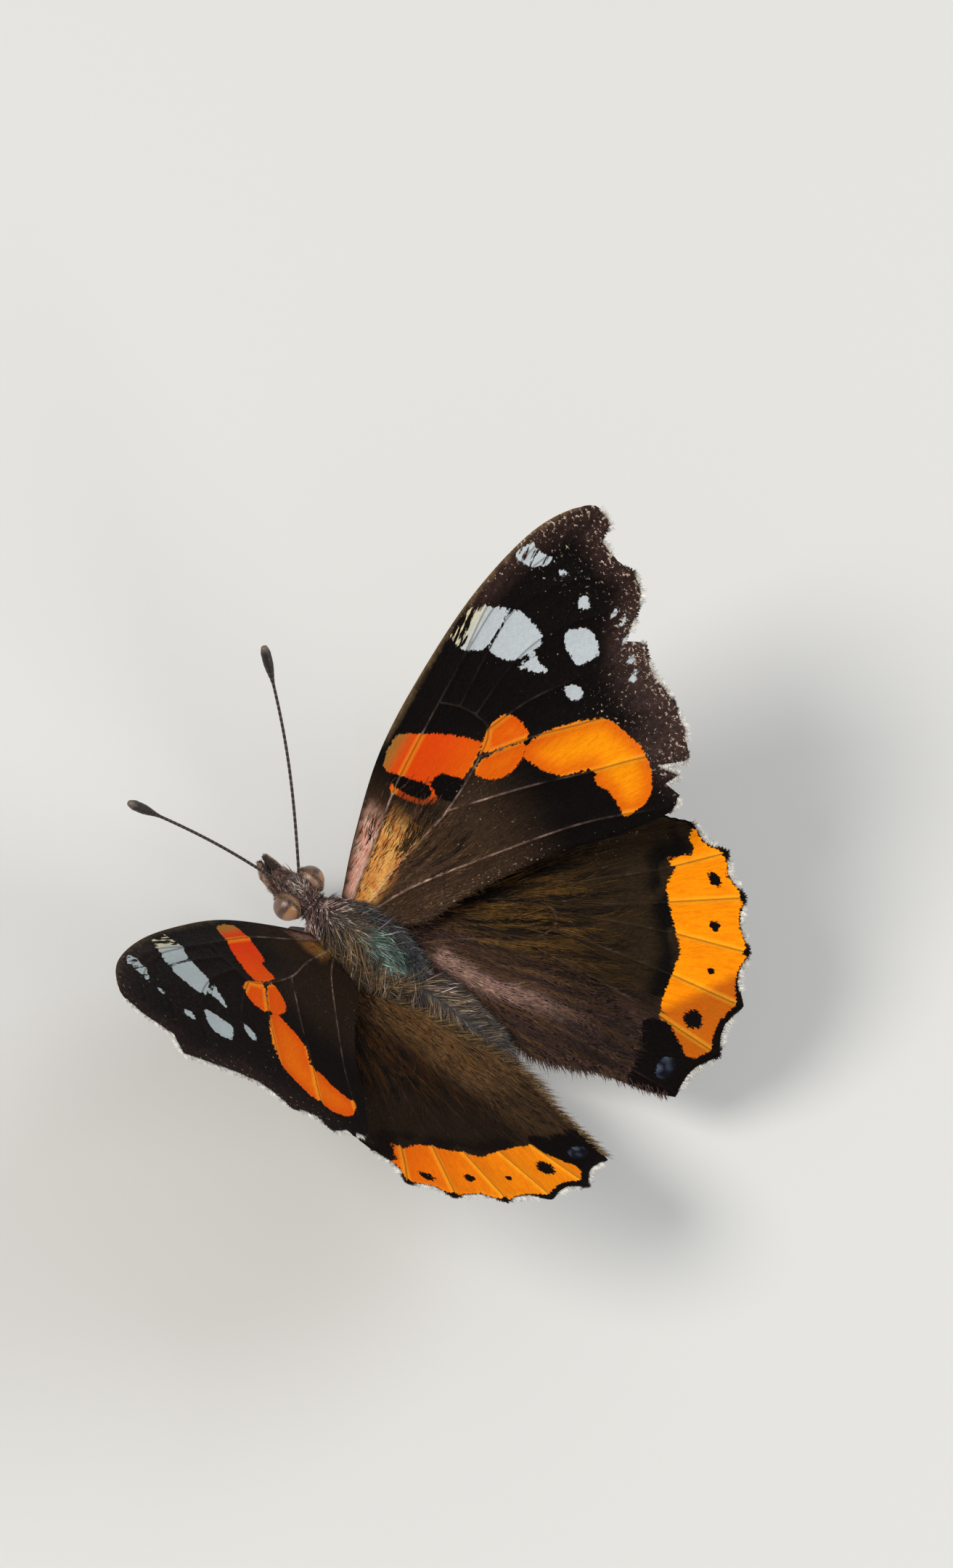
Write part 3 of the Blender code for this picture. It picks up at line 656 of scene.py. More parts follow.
wingWear = {    # places that have lost scales, and how frayed the white marks are: strength and fades
    "forewing": {
        "worn": [((0.42, 0.252), ("out", 22.0, 27.0)), ((0.46, 0.276), ("out", 16.0, 19.5)),
                 ((0.35, 0.21), ("edge", 1.4, 0.3)),
                 ((0.66, 0.396), ("far", 17.0, 11.0), ("forward", -0.5, -2.0)),
                 ((0.45, 0.27), ("forward", -5.0, -7.0), ("out", 16.0, 18.5))],
        "fray": [(0.40, ("forward", 1.5, 2.4), ("out", 24.0, 22.0)),
                 (0.28, ("out", 24.5, 25.5), ("forward", -0.6, 0.2)), (-0.2,)],
    },
    "hindwing": {"worn": [(0.85, ("forward", -6.5, -2.5), ("out", 9.0, 13.0))], "fray": [(-0.2,)]},
}


def markForewing(name, spots, measures, left):    # how deep each spot lies inside the marks
    out, forward = measures["out"], measures["forward"]
    white = depthInAny(spots, foreWhite)
    red = depthInAny(spots, foreRed[:1] + foreRed[2:] if left else foreRed)
    bars = np.full(len(spots), nowhere) if left else depthInAny(spots, foreBars)
    for fleckOut, fleckForward in [] if left else foreFlecks:
        flat = np.hypot((out - fleckOut) / 0.42, (forward - fleckForward) / 0.16) - 1.0
        white = np.maximum(white, -flat * 0.16)
    fleck = valueNoise(spots, 6.0, 81) * 0.5 + 0.5
    cool = smoothRamp(forward, 1.0, -8.0)
    measures.update({
        "gold": mixTones(tone(222, 130, 58), tone(255, 196, 108), fleck),
        "pink": mixTones(tone(222, 146, 118), tone(248, 200, 178), fleck),
        # on the left forewing the gold and pink stay only at the root: painted shade over the rest of its
        # base
        "atRoot": smoothRamp(out, 3.2, 1.4) * 0.9 if left else 1.0,
        "behindFront": frontVein(out) - forward,
        "cell": forward + 0.10 * out,
        "slant": out * 0.5 - forward,
        "blueLine": np.abs(out - 17.2 + 0.25 * forward),
        "red": red, "rightCool": cool ** 1.1, "leftCool": cool ** 0.7,
    })
    red = red - 0.30 * smoothRamp(forward, 2.2, 3.1)    # the band thins out at the front edge
    return {"white": white, "red": red, "bars": bars, "underRed": np.maximum(red, bars)}


def frontVein(out):    # the vein along the front of the forewing's base
    return 0.1 + 0.15 * out


def markHindwing(name, spots, measures, left):
    out, forward = measures["out"], measures["forward"]
    red = depthIn(spots, hindBand())
    bars = np.full(len(spots), nowhere)
    for spotOut, spotForward, wide, tall in hindSpots:
        flat = 1.0 - np.hypot((out - spotOut) / (wide * 0.62), (forward - spotForward) / (tall * 0.62))
        bars = np.maximum(bars, flat * 0.4)
    for tip in np.array([hindFirstTip[name[8:]]] + hindTips):    # black at the end of each vein
        bars = np.maximum(bars, 0.42 - np.hypot(*(spots - tip).T))
    # a dark line inside the pale fringe, wider towards the tail end
    margin = measures["edge"] - (0.10 + 0.45 * smoothRamp(forward, -13.0, -17.0))
    bars = np.maximum(bars, -margin * smoothRamp(out, 9.0, 11.0))
    bars = np.maximum(bars, depthInAny(spots, hindDark))
    measures.update({
        "red": red,
        "blotch": valueNoise(spots, 1.6, 91),
        "inner": smoothRamp(awayFromBody(spots), 3.4, 0.4),
        "ridge": foldRidge(spots),
        # line below which the right hindwing's band gets painted shade
        "shaded": forward + 0.16 * (out - 10.9),
        "shimmer": valueNoise(spots, 11.0, 5),
        "spread": ramp(measures["far"], 4.0, 20.0),
        "frontPatch": np.hypot(out - 9.5, forward - 0.4),
    })
    return {"white": depthInAny(spots, hindBlue), "red": red, "bars": bars,
            "underRed": np.full(len(spots), nowhere)}


def hindBand():
    return np.vstack([smoothLine(hindBandInner, 0.4), np.array(hindBandOuter)])


def awayFromBody(spots):    # distance from the hindwing's inner edge, roughly
    return spots[:, 0] * 0.86 + spots[:, 1] * 0.52


def foldRidge(spots):    # 1 on the painted highlight along the fold beside the abdomen, fading down both sides and outwards
    side = smoothRamp(toPath(spots, smoothLine(hindFold, 0.3)), 0.85, 0.15)
    return side * smoothRamp(np.hypot(spots[:, 0], spots[:, 1]), 14.0, 7.0)


wingFinish = {
    "scaleSize": 9.5,    # scales for each millimetre
    "raggedEdge": 0.42,
    "edgeSoftness": 0.035,
    "darkContrast": 0.55,    # how much one scale differs from the next, on dark and on bright ground
    "brightContrast": 0.13,
    "roughness": 0.74,
    "deep": tone(10, 7, 5),
    "bandStreak": tone(206, 74, 6),
    "bar": tone(10, 6, 5),
    "veinHighlight": tone(255, 190, 48),    # painted highlight beside a vein on the bright band
    "veinLine": tone(48, 26, 12),
    "bare": tone(206, 182, 160),    # where scales are lost
    "veinShown": (0.85, 0.35),    # right and left wing; the lower share on the left is painted shade
    "hindVeinShare": 0.18,
}
undersideFinish = {
    "brown": tone(112, 92, 76), "line": tone(34, 25, 23), "blot": tone(40, 30, 27),
    "pale": tone(164, 142, 124), "vein": tone(150, 126, 100), "roughness": 0.6,
}


def scaleRows(look, place, shape, **chances):    # rows of wing scales: their cells and random values
    values = {"Vector": look.stretch(place, shape), "Scale": wingFinish["scaleSize"], **chances}
    rows = look.add("TexVoronoi", values, voronoi_dimensions="2D")
    return rows.outputs["Distance"], look.add("SeparateColor", {0: rows.outputs["Color"]}).outputs


def makeWingMaterial(name):
    inks = wingFinish
    look = Recipe(name, Specular_IOR_Level=0.06)
    ray = look.read("ray", "Vector")
    bulge, chance = scaleRows(look, ray, (1.5, 0.8, 1.0), Randomness=0.8)
    teeth = look.noise(look.stretch(ray, (9.0, 1.6, 1.0)), 1.0, 2.0, 0.6)
    teeth = look.times(look.less(teeth, 0.5), inks["raggedEdge"])
    wobble = look.plus(teeth, look.times(look.less(chance[0], 0.5), 0.10))

    def mask(attribute):
        depth = look.plus(look.read(attribute), wobble)
        return look.spread(depth, -inks["edgeSoftness"], inks["edgeSoftness"])

    red, bars, white = mask("red"), mask("bars"), mask("white")
    frayed = look.noise(look.stretch(ray, (7.0, 0.5, 1.0)), 1.0, 3.0, 0.6)
    white = look.times(white, look.spread(look.less(frayed, look.read("fray")), 0.34, 0.40))
    streaks = look.noise(look.stretch(ray, (1.0, 0.10, 1.0)), 7.0, 5.0, 0.65)
    ground = look.read("ground", "Color")
    deep = look.mix(0.5, ground, inks["deep"])
    ground = look.mix(look.spread(streaks, 0.36, 0.66, 0.0, 0.75), ground, deep)
    band = look.read("band", "Color")
    band = look.mix(look.spread(streaks, 0.42, 0.66, 0.0, 0.30), band, inks["bandStreak"])
    colour = look.mix(red, ground, band)
    colour = look.mix(bars, colour, inks["bar"])
    colour = look.mix(white, colour, look.read("spot", "Color"))
    onBand = look.less(red, bars, clamp=True)
    bright = look.sum("MAXIMUM", onBand, white)
    vein = look.read("vein")
    veinLine = look.spread(vein, 0.085, 0.03)
    # painted highlight: a yellow line beside each vein on the band
    veinHighlightShare = look.times(look.times(look.spread(vein, 0.34, 0.12), onBand), 0.26)
    colour = look.mix(veinHighlightShare, colour, inks["veinHighlight"])
    colour = look.mix(look.times(look.times(veinLine, bright), 0.5), colour, inks["veinLine"])
    # pale vein lines: partly the veins' own colour, partly painted highlight, strongest on the right wing
    lit = look.times(look.times(veinLine, look.read("veinShare")), look.less(1.0, bright))
    colour = look.mix(lit, colour, look.read("veinTone", "Color"))
    # worn places, where a pale scale or bare membrane shows
    wear = look.noise(look.stretch(ray, (1.0, 0.5, 1.0)), 7.0, 5.0, 0.75)
    wear = look.plus(wear, look.times(look.read("worn"), 0.13))
    wear = look.times(look.spread(wear, 0.70, 0.75), look.spread(chance[2], 0.40, 0.6))
    wear = look.times(wear, look.less(1.0, look.times(bright, 0.7)))
    colour = look.mix(look.times(wear, 0.85), colour, inks["bare"])
    contrast = look.spread(bright, 0.0, 1.0, inks["darkContrast"], inks["brightContrast"], False)
    colour = look.darken(colour, look.plus(1.0, look.times(look.less(chance[1], 0.5), contrast)))
    rough = look.spread(chance[2], 0.0, 1.0, inks["roughness"] - 0.10, inks["roughness"] + 0.15, False)
    return look.finish(colour, rough, look.bump(look.plus(look.times(bulge, -1.0), streaks), 0.5, 0.05))


def makeUndersideMaterial(name, marbled):
    inks = undersideFinish
    look = Recipe(name, Specular_IOR_Level=0.12)
    flat = look.read("flat", "Vector")
    bulge, chance = scaleRows(look, flat, (0.75, 1.35, 1.0))
    rag = look.times(look.less(chance[0], 0.5), wingFinish["raggedEdge"])
    wave = look.sum("ABSOLUTE", look.less(look.noise(flat, 0.45, 4.0, 0.55), 0.5))
    colour = look.read("under", "Color")
    for share, ink in (    # clouds, dark wavy lines, dark blots, pale blots
            (look.spread(look.noise(flat, 0.32, 6.0, 0.66), 0.36, 0.52, 0.0, marbled), "brown"),
            (look.spread(wave, 0.035, 0.012, 0.0, marbled), "line"),
            (look.spread(look.noise(flat, 0.8, 5.0, 0.7), 0.56, 0.62), "blot"),
            (look.spread(look.noise(flat, 1.1, 5.0, 0.7), 0.60, 0.64, 0.0, marbled), "pale")):
        colour = look.mix(share, colour, inks[ink])
    for attribute, shadeName in (("underRed", "underBand"), ("white", "underSpot")):
        share = look.spread(look.plus(look.read(attribute), rag), -0.06, 0.06)
        colour = look.mix(share, colour, look.read(shadeName, "Color"))
    colour = look.mix(look.spread(look.read("vein"), 0.17, 0.03, 0.0, 0.7), colour, inks["vein"])
    colour = look.darken(colour, look.spread(chance[1], 0.0, 1.0, 0.6, 1.4, False))
    return look.finish(colour, inks["roughness"], look.bump(look.times(bulge, -1.0), 0.4, 0.05))


def wingRelief(spots, loop, lines):    # distance to the edge and to a vein, height of both faces
    edge = depthIn(spots, loop)
    vein = np.min([toPath(spots, line) for line in lines], axis=0)
    ridge = wingShape["veinRise"] * ramp(vein, wingShape["veinHalfWidth"], 0.0) ** 0.8
    between = smoothRamp(vein, 0.1, 1.3) * smoothRamp(edge, 0.0, 0.8)
    settle = (wingShape["ripple"] * valueNoise(spots, 1.3, 11) - wingShape["pleat"]) * between
    taper = smoothRamp(edge, -0.02, 0.5)
    half = wingShape["membrane"] * (0.35 + 0.65 * taper) / 2
    return edge, vein, settle + half + ridge * taper, settle - half - 0.8 * ridge * taper


def rayOf(name, spots):    # round and along the fan of scales and hairs that spreads from the root
    centre = wingShape["foreFan" if name.startswith("fore") else "hindFan"]
    run = spots - np.array(centre)
    return np.stack([np.arctan2(run[:, 1], run[:, 0]) * 16.0, np.hypot(run[:, 0], run[:, 1])], axis=1)


def makeWing(name, node, upperSide, lowerSide):
    spots, faces, loop, lines = wingGrid(name)
    edge, vein, topHeight, bottomHeight = wingRelief(spots, loop, lines)
    count = len(spots)
    left = name.endswith("Left")
    kind = "forewing" if name.startswith("fore") else "hindwing"
    faces = [list(face) for face in faces]
    sides = {(a, b) for face in faces for a, b in zip(face, face[1:] + face[:1])}
    wall = [(b, a, a + count, b + count) for face in faces for a, b in zip(face, face[1:] + face[:1])
            if (b, a) not in sides]
    upperFaces = [face[::-1] if left else face for face in faces]
    lowerFaces = [[k + count for k in (face if left else face[::-1])] for face in faces]
    wall = [around[::-1] if left else around for around in wall]
    points = np.vstack([onWing(name, spots, topHeight), onWing(name, spots, bottomHeight)])
    piece = addPiece(name, points, upperFaces + lowerFaces + wall, [upperSide, lowerSide], [node],
                     [0] * len(upperFaces) + [1] * len(lowerFaces) + [0] * len(wall))
    out, forward = spots[:, 0], spots[:, 1]
    far = np.hypot(out, forward)
    measures = {"out": out, "forward": forward, "far": far, "edge": edge}
    values = (markForewing if kind == "forewing" else markHindwing)(name, spots, measures, left)
    for key, layers in {**wingPaint[kind], "veinTone": wingVeinPaint}.items():
        values[key] = laid(layers, measures, left)
    for key, rows in wingWear[kind].items():
        shares = [shareOf(strength, fades, measures, left) for strength, *fades in rows]
        values[key] = sum(share * np.ones(count) for share in shares)
    patchy = (0.55 + 0.45 * valueNoise(spots, 2.2, 21)) * (0.75 + 0.5 * valueNoise(spots, 9.0, 22))
    shown = wingFinish["veinShown"][left]
    if kind == "forewing":    # hardly any show on the black between band and tip
        shown = shown * (1 - 0.85 * smoothRamp(out, 11.5, 14.0) * smoothRamp(forward, -3.4, -2.0))
    else:
        shown *= wingFinish["hindVeinShare"]
    values["veinShare"] = np.clip(shown * smoothRamp(far, 22.0, 8.0) * patchy, 0, 1)
    values["vein"] = vein
    values["flat"] = np.column_stack([spots, np.zeros(count)])
    values["ray"] = np.column_stack([rayOf(name, spots), np.zeros(count)])
    for key, value in values.items():
        keepValues(piece, key, np.concatenate([value, value], axis=0))
    print(name, "made,", 2 * count, "points")
    return loop, lines


wingSides = {
    "forewing": (makeWingMaterial("forewingUpper"), makeUndersideMaterial("forewingUnder", 0.15)),
    "hindwing": (makeWingMaterial("hindwingUpper"), makeUndersideMaterial("hindwingUnder", 0.9)),
}
wingLoops = {}
for kind, bothSides in wingSides.items():
    for word in ("Right", "Left"):
        wingLoops[kind + word] = makeWing(kind + word, kind + "_" + word.lower(), *bothSides)


# Body skin, hair, eyes, feelers, palps and legs.
bodyShape = {
    "coatDepth": {"abdomen": 0.22, "thorax": 0.34, "head": 0.14},
    "abdomen": (-4.0, 8.35, 1.60, 7),    # front, length, half width, segments
    "thorax": [(3.6, 0.80, 0.80, -0.90), (3.2, 1.35, 1.35, -1.45), (2.3, 1.80, 1.85, -1.95),
               (1.0, 2.05, 2.20, -2.30), (-0.5, 2.10, 2.25, -2.35), (-1.9, 1.90, 2.00, -2.15),
               (-3.0, 1.50, 1.55, -1.70), (-3.7, 1.05, 1.05, -1.15)],
    "head": [(6.45, 0.40, 0.45, -0.35), (6.2, 0.80, 0.95, -0.75), (5.7, 1.10, 1.40, -1.05),
             (5.0, 1.20, 1.50, -1.15), (4.3, 1.10, 1.20, -1.05), (3.9, 0.80, 0.80, -0.80)],
    "neck": (3.74, 0.80, 0.82, -0.85),
    "groove": (0.07, 0.10),    # depth, and width as a share of a segment
    "sides": 64,
    "step": 0.11,
    "unwrapLength": 19.5,
}


def bodyProfile():    # half width, top and bottom of the skin at places along the body
    depth = bodyShape["coatDepth"]
    rows = [bodyShape["neck"]]
    for part, shift in (("head", 0.05), ("thorax", 0.0)):
        rows += [(y - shift, half - depth[part], top - depth[part], bottom + depth[part])
                 for y, half, top, bottom in bodyShape[part]]
    front, length, halfWidth, segments = bodyShape["abdomen"]
    sunk, width = bodyShape["groove"]
    for share in np.arange(71) / 70:
        half = halfWidth * max(0.0, math.sin(math.pi * (0.22 + 0.78 * share))) ** 0.75
        phase = share * segments - round(share * segments)
        half = max(0.10, half - depth["abdomen"] - sunk * math.exp(-(phase / width) ** 2))
        middle = -0.12 * (1 - share)
        place = front - 0.05 - (length - 0.25) * share
        rows.append((place, half, middle + 0.95 * half, middle - 1.05 * half))
    return np.array(sorted(rows))


bodyTable = bodyProfile()
tailEnd, noseEnd = bodyTable[0, 0], bodyTable[-1, 0]


def onBody(y, angle, lift=0.0):
    half = np.interp(y, bodyTable[:, 0], bodyTable[:, 1]) + lift
    top = np.interp(y, bodyTable[:, 0], bodyTable[:, 2]) + lift
    bottom = -np.interp(y, bodyTable[:, 0], bodyTable[:, 3]) + lift
    up = np.sin(angle)
    return np.stack([half * np.cos(angle), y + 0 * angle, np.where(up > 0, top, bottom) * up], axis=-1)


def unit(vectors):
    return vectors / np.maximum(np.linalg.norm(vectors, axis=-1, keepdims=True), 1e-9)


def bodyNormal(y, angle):
    around = onBody(y, angle + 0.02) - onBody(y, angle - 0.02)
    along = onBody(y + 0.15, angle) - onBody(y - 0.15, angle)
    return unit(np.cross(along, around))


eyeShape = {
    "centre": (1.16, 4.95, 0.36), "radii": (0.84, 0.88, 0.96),
    "facets": 1500, "facetRise": 0.012, "rings": 110,
    "rear": tone(166, 118, 78), "front": tone(104, 74, 56), "band": tone(58, 32, 18),
    "speckle": tone(92, 56, 30), "socket": tone(138, 104, 78), "groove": tone(70, 42, 24),
    "rimTufts": 700, "rimTone": tone(176, 140, 108), "rimDark": tone(78, 54, 40),
}
bodyPaint = [    # screen colour, strength, what fades it in: y along the body, up = 1 on top and -1 below
    ((60, 60, 62), 1),
    ((124, 100, 64), 1, ("up", 0.75, 0.1)),    # sides of the abdomen
    ((206, 190, 178), 1, ("y", -10.9, -12.1)),    # tip of the tail
    ((80, 104, 94), 1, ("y", -4.2, -3.2)),    # rear of the thorax
    ((88, 76, 56), 1, ("y", -1.6, 0.8)),
    ((78, 64, 44), 1, ("up", 0.6, 0.0), ("y", -4.4, -3.4)),
    ((146, 104, 94), 1, ("y", 2.3, 3.0)),    # collar
    ((120, 84, 72), 1, ("y", 3.6, 4.3)),    # head
    ((132, 86, 64), 1, ("y", 5.4, 6.2)),    # face
    ((132, 116, 92), 0.8, ("up", -0.3, -0.8)),    # belly
]
# The skin is darker than the coat.
skinShade = {"patch": tone(24, 18, 14), "depth": (0.01, 0.008, 0.006, 1), "share": 0.45}


def bodyTone(y, angle):
    return laid(bodyPaint, {"y": y, "up": np.sin(angle)})


def makeSkin():
    y = np.arange(tailEnd, noseEnd, bodyShape["step"])
    sides = bodyShape["sides"]
    angles = np.arange(sides) * 2 * math.pi / sides
    grid = [onBody(np.full(sides, place), angles) for place in y]
    points = np.vstack(grid + [[[0, tailEnd - 0.05, 0]], [[0, noseEnd + 0.05, 0.02]]])
    look = Recipe("bodySkin", Roughness=0.55, Specular_IOR_Level=0.4)
    place = look.add("TexCoord").outputs["Object"]
    patches = look.noise(place, 2200.0, 4.0)
    colour = look.mix(look.spread(patches, 0.35, 0.65), look.read("tint", "Color"), skinShade["patch"])
    height = look.noise(look.stretch(place, (1.0, 0.35, 1.0)), 9000.0, 3.0)
    material = look.finish(colour, look.spread(patches, 0.3, 0.7, 0.45, 0.7), look.bump(height, 0.6, 0.04))
    faces = capped(len(y), sides, len(points) - 2, len(points) - 1)
    piece = addPiece("bodySkin", points, faces, [material], ["thorax", "abdomen", "head"])
    allY = np.concatenate([np.repeat(y, sides), [tailEnd, noseEnd]])
    allAngle = np.concatenate([np.tile(angles, len(y)), [0, 0]])
    tint = mixTones(bodyTone(allY, allAngle), skinShade["depth"], skinShade["share"])
    keepValues(piece, "tint", tint)


# A coat is one mesh of thin tapered tufts, each with its own patch on the coat's unwrap.
def hairCoat(name, roots, lean, outward, lengths, widths, tints, places, material,
             rings=2, bow=0.25, curl=0.18, rootShade=0.45, tipLight=1.15):
    count = len(roots)
    lean = unit(lean)
    side = unit(np.cross(outward, lean))
    up = np.cross(lean, side)
    drift = side * rng.normal(0, curl, count)[:, None] - up * bow
    perHair = 3 * rings + 1
    points = np.zeros((count, perHair, 3))
    colours = np.zeros((count, perHair, 4))
    patch = np.zeros((count, perHair, 2))
    for ring in range(rings + 1):
        share = ring / rings
        middle = roots + (lean * share + drift * share ** 2) * lengths[:, None]
        half = (widths * (1 - 0.7 * share ** 1.4) / 2)[:, None]
        # each tuft darker at the root and lighter at the tip: painted shade among the roots and painted
        # highlight at the tips
        shade = rootShade + (tipLight - rootShade) * share
        corners = [(-side * half, -1), (side * half, 1), (up * half * 0.8, 0)]
        for k, (offset, across) in enumerate(corners if ring < rings else [(0.0, 0)]):
            spot = 3 * ring + k
            points[:, spot] = middle + offset
            colours[:, spot] = tints * (shade, shade, shade, 1.0)
            patch[:, spot] = places + np.array([0.0015 * across, 0.003 * share])
    faces = [(2, 1, 0)]
    for ring in range(rings - 1):
        base = 3 * ring
        faces += [(base + j, base + (j + 1) % 3, base + 3 + (j + 1) % 3, base + 3 + j) for j in range(3)]
    top = 3 * (rings - 1)
    faces += [(top + j, top + (j + 1) % 3, perHair - 1) for j in range(3)]
    starts = range(0, count * perHair, perHair)
    every = [tuple(start + k for k in face) for start in starts for face in faces]
    piece = addPiece(name, points.reshape(-1, 3), every, [material])
    keepValues(piece, "tint", colours.reshape(-1, 4))
    layer = piece.data.uv_layers.new(name="OFBake")
    corner = np.empty(len(piece.data.loops), int)
    piece.data.loops.foreach_get("vertex_index", corner)
    layer.data.foreach_set("uv", patch.reshape(-1, 2)[corner].astype(np.float32).ravel())
    print(name, "made,", count, "tufts")


hairPatch = tone(52, 40, 30)


def makeHairMaterial(name, roughness, sheen, gloss=0.35):
    look = Recipe(name, Roughness=roughness, Sheen_Weight=sheen, Specular_IOR_Level=gloss)
    place = look.add("TexCoord").outputs["Object"]
    patches = look.noise(place, 3000.0, 2.0)
    colour = look.mix(look.spread(patches, 0.3, 0.7, 0.0, 0.45), look.read("tint", "Color"), hairPatch)
    height = look.noise(look.stretch(place, (1.0, 0.3, 1.0)), 20000.0, 2.0)
    return look.finish(colour, look.spread(patches, 0.3, 0.7, roughness - 0.1, roughness + 0.12),
                       look.bump(height, 0.3, 0.02))


bodyHair = makeHairMaterial("bodyHair", 0.5, 0.12)


def bodyPlaces(y, angle):    # unwrap of the body: round it, and along it
    aroundShare = (angle % (2 * math.pi)) / (2 * math.pi)
    alongShare = (y - tailEnd) / bodyShape["unwrapLength"]
    return np.stack([aroundShare, alongShare], axis=1) * 0.9 + 0.05


def varied(colours, amount):
    return colours * np.concatenate([rng.normal(1, amount, (len(colours), 1)).clip(0.3, 1.9)
                                     * rng.normal(1, amount * 0.25, (len(colours), 3)),
                                     np.ones((len(colours), 1))], axis=1)


hairTones = {
    "locksLeft": tone(168, 130, 84), "locksRight": tone(124, 104, 82), "locksDark": tone(24, 18, 13),
    "whitish": tone(226, 204, 192), "teal": tone(90, 134, 118), "tealLight": tone(178, 206, 190),
    "blueGrey": tone(84, 90, 108), "tuftGold": tone(164, 124, 66), "wine": tone(58, 34, 34),
    "tail": tone(250, 236, 226),
}
thoraxPaint = [
    ("tuftGold", 0.6, "leftSide", ("y", 2.2, 1.2)), ("blueGrey", 0.7, "rightSide", ("y", 2.0, 0.5)),
    # the teal on top of the thorax is partly the hair's own greenish colour and partly painted sheen; the
    # tealLight strokes are painted highlights
    ("teal", 0.85, "back"), ("tealLight", 0.8, ("above", 0.72), "back"),
    ("whitish", 0.7, ("above", 0.95)), ("locksDark", 0.75, ("below", 0.28)),
]
# Tufts, range along the body, length, width, how far they stand off, slot, the way they lie (sideways,
# forward, up), and paint over the skin's own tone. Combed: share to the left, its angle, the other, spread.
bodyCoats = {
    "thoraxUnderCoat": dict(count=10000, y=(-3.7, 3.3), length=(0.25, 0.50), width=0.06, stand=0.35,
                            slot="body_hair", paint=thoraxPaint),
    "thoraxCoat": dict(count=5600, y=(-3.4, 2.4), length=(0.7, 1.4), width=0.085, stand=0.30,
                       slot="body_hair", paint=thoraxPaint),
    "collarCoat": dict(count=3400, y=(2.0, 3.95), length=(0.45, 0.95), width=0.095, stand=0.55,
                       slot="body_hair", lie=(0.75, -0.75, 0.1),
                       paint=[("whitish", 0.85, ("above", 0.70)), ("wine", 0.9, ("below", 0.40))]),
    "abdomenCoat": dict(count=10000, y=(-12.2, -3.8), length=(0.28, 0.55), width=0.06, stand=0.20,
                        slot="abdomen_hair"),
    "abdomenLocks": dict(count=7600, y=(-11.9, -3.0), length=(1.0, 2.1), width=0.090, stand=0.30,
                         slot="abdomen_hair", lie=(0.95, -1.0, 0.05), combed=(0.5, 2.3, 0.8, 0.5),
                         paint=[("locksRight", 0.8), ("locksLeft", 0.9, "leftSide"),
                                ("blueGrey", 0.7, "rightSide", ("y", -7.5, -9.5)),
                                ("locksDark", 0.9, ("below", 0.48)), ("whitish", 0.8, ("above", 0.93)),
                                ("whitish", 0.9, ("above", 0.55), ("y", -10.2, -11.6))]),
    "tailCoat": dict(count=1300, y=(-12.15, -10.9), length=(0.4, 0.9), width=0.085, stand=0.35,
                     slot="abdomen_hair", evenness=0.6, paint=[("tail", 1, ("above", 0.2))]),
    "faceCoat": dict(count=1500, y=(5.9, 6.4), length=(0.45, 1.0), width=0.070, stand=0.8,
                     slot="head_hair", lie=(0.1, 1.0, 0.25), evenness=0.6,
                     paint=[("wine", 0.85, ("below", 0.55)), ("whitish", 0.7, ("above", 0.92))]),
    "headCoat": dict(count=5600, y=(3.7, 6.35), length=(0.22, 0.50), width=0.060, stand=0.9,
                     slot="head_hair", lie=(0.1, 0.8, 0.35),
                     paint=[("wine", 0.8, ("below", 0.35)), ("whitish", 0.9, ("above", 0.86)),
                            ("whitish", 1, ("above", 0.45), "crown")]),
    "rootCoat": dict(count=4600, y=(-3.4, 2.6), length=(1.2, 2.5), width=0.080, stand=0.30,
                     slot="body_hair", lie=(0.95, -0.6, 0.45), combed=(0.55, 2.5, 0.65, 0.35),
                     paint=[("tuftGold", 0.8, "leftSide"), ("blueGrey", 0.7, "rightSide"),
                            ("locksDark", 0.85, ("below", 0.45)), ("whitish", 0.5, ("above", 0.92))]),
}


def makeBodyCoat(name, coat):
    count = coat["count"]
    y = rng.uniform(*coat["y"], count)
    angle = rng.uniform(0, 2 * math.pi, count)
    pick = rng.uniform(0, 1, count)
    if "combed" in coat:    # off the back to the left, and less to the right
        leftShare, leftAngle, rightAngle, spread = coat["combed"]
        angle = np.where(pick < leftShare, rng.normal(leftAngle, spread, count),
                         rng.normal(rightAngle, spread, count))
    half = np.interp(y, bodyTable[:, 0], bodyTable[:, 1])
    keep = rng.uniform(0, 1, count) < half / half.max() + coat.get("evenness", 0.12)
    if name == "headCoat":    # bare where the eyes are
        atEye = np.hypot(y - eyeShape["centre"][1], np.sin(angle) * 1.2 - 0.36) < 0.85
        keep &= ~(atEye & (np.abs(np.cos(angle)) > 0.72))
    y, angle = y[keep], angle[keep]
    count = len(y)
    roots = onBody(y, angle, -0.02)
    normal = bodyNormal(y, angle)
    flow = np.tile(coat.get("lie", (0.2, -1.0, 0.0)), (count, 1))
    flow[:, 0] *= np.sign(np.cos(angle))
    if name == "collarCoat":
        flow[:, 0] *= np.abs(np.cos(angle)) ** 0.5
    sway = valueNoise(np.column_stack([y, angle * 2.0]), 2.6, 31)
    flow[:, 0] += 0.42 * sway + rng.normal(0, 0.14, count)
    flow[:, 2] += rng.normal(0, 0.12, count)
    tangent = unit(flow - normal * np.sum(flow * normal, axis=1)[:, None])
    lean = tangent + normal * (coat["stand"] * (1 + rng.normal(0, 0.35, count)))[:, None]
    lengths = rng.uniform(*coat["length"], count)
    if name == "abdomenLocks":    # longest on the left and in front, short at the tail
        lengths *= 0.8 + 0.2 * leftSide(angle) + 0.2 * smoothRamp(y, -6.0, -4.0)
        lengths *= 0.6 + 0.4 * smoothRamp(y, -11.8, -10.2)
    hairCoat(name, roots, lean, normal, lengths, coat["width"] * rng.uniform(0.6, 1.25, count),
             coatTints(coat.get("paint", []), y, angle, roots), bodyPlaces(y, angle), bodyHair,
             rings=3 if coat["length"][1] > 0.6 else 2, rootShade=0.35, tipLight=1.3)


def leftSide(angle):
    return smoothRamp(np.cos(angle), 0.35, -0.45)


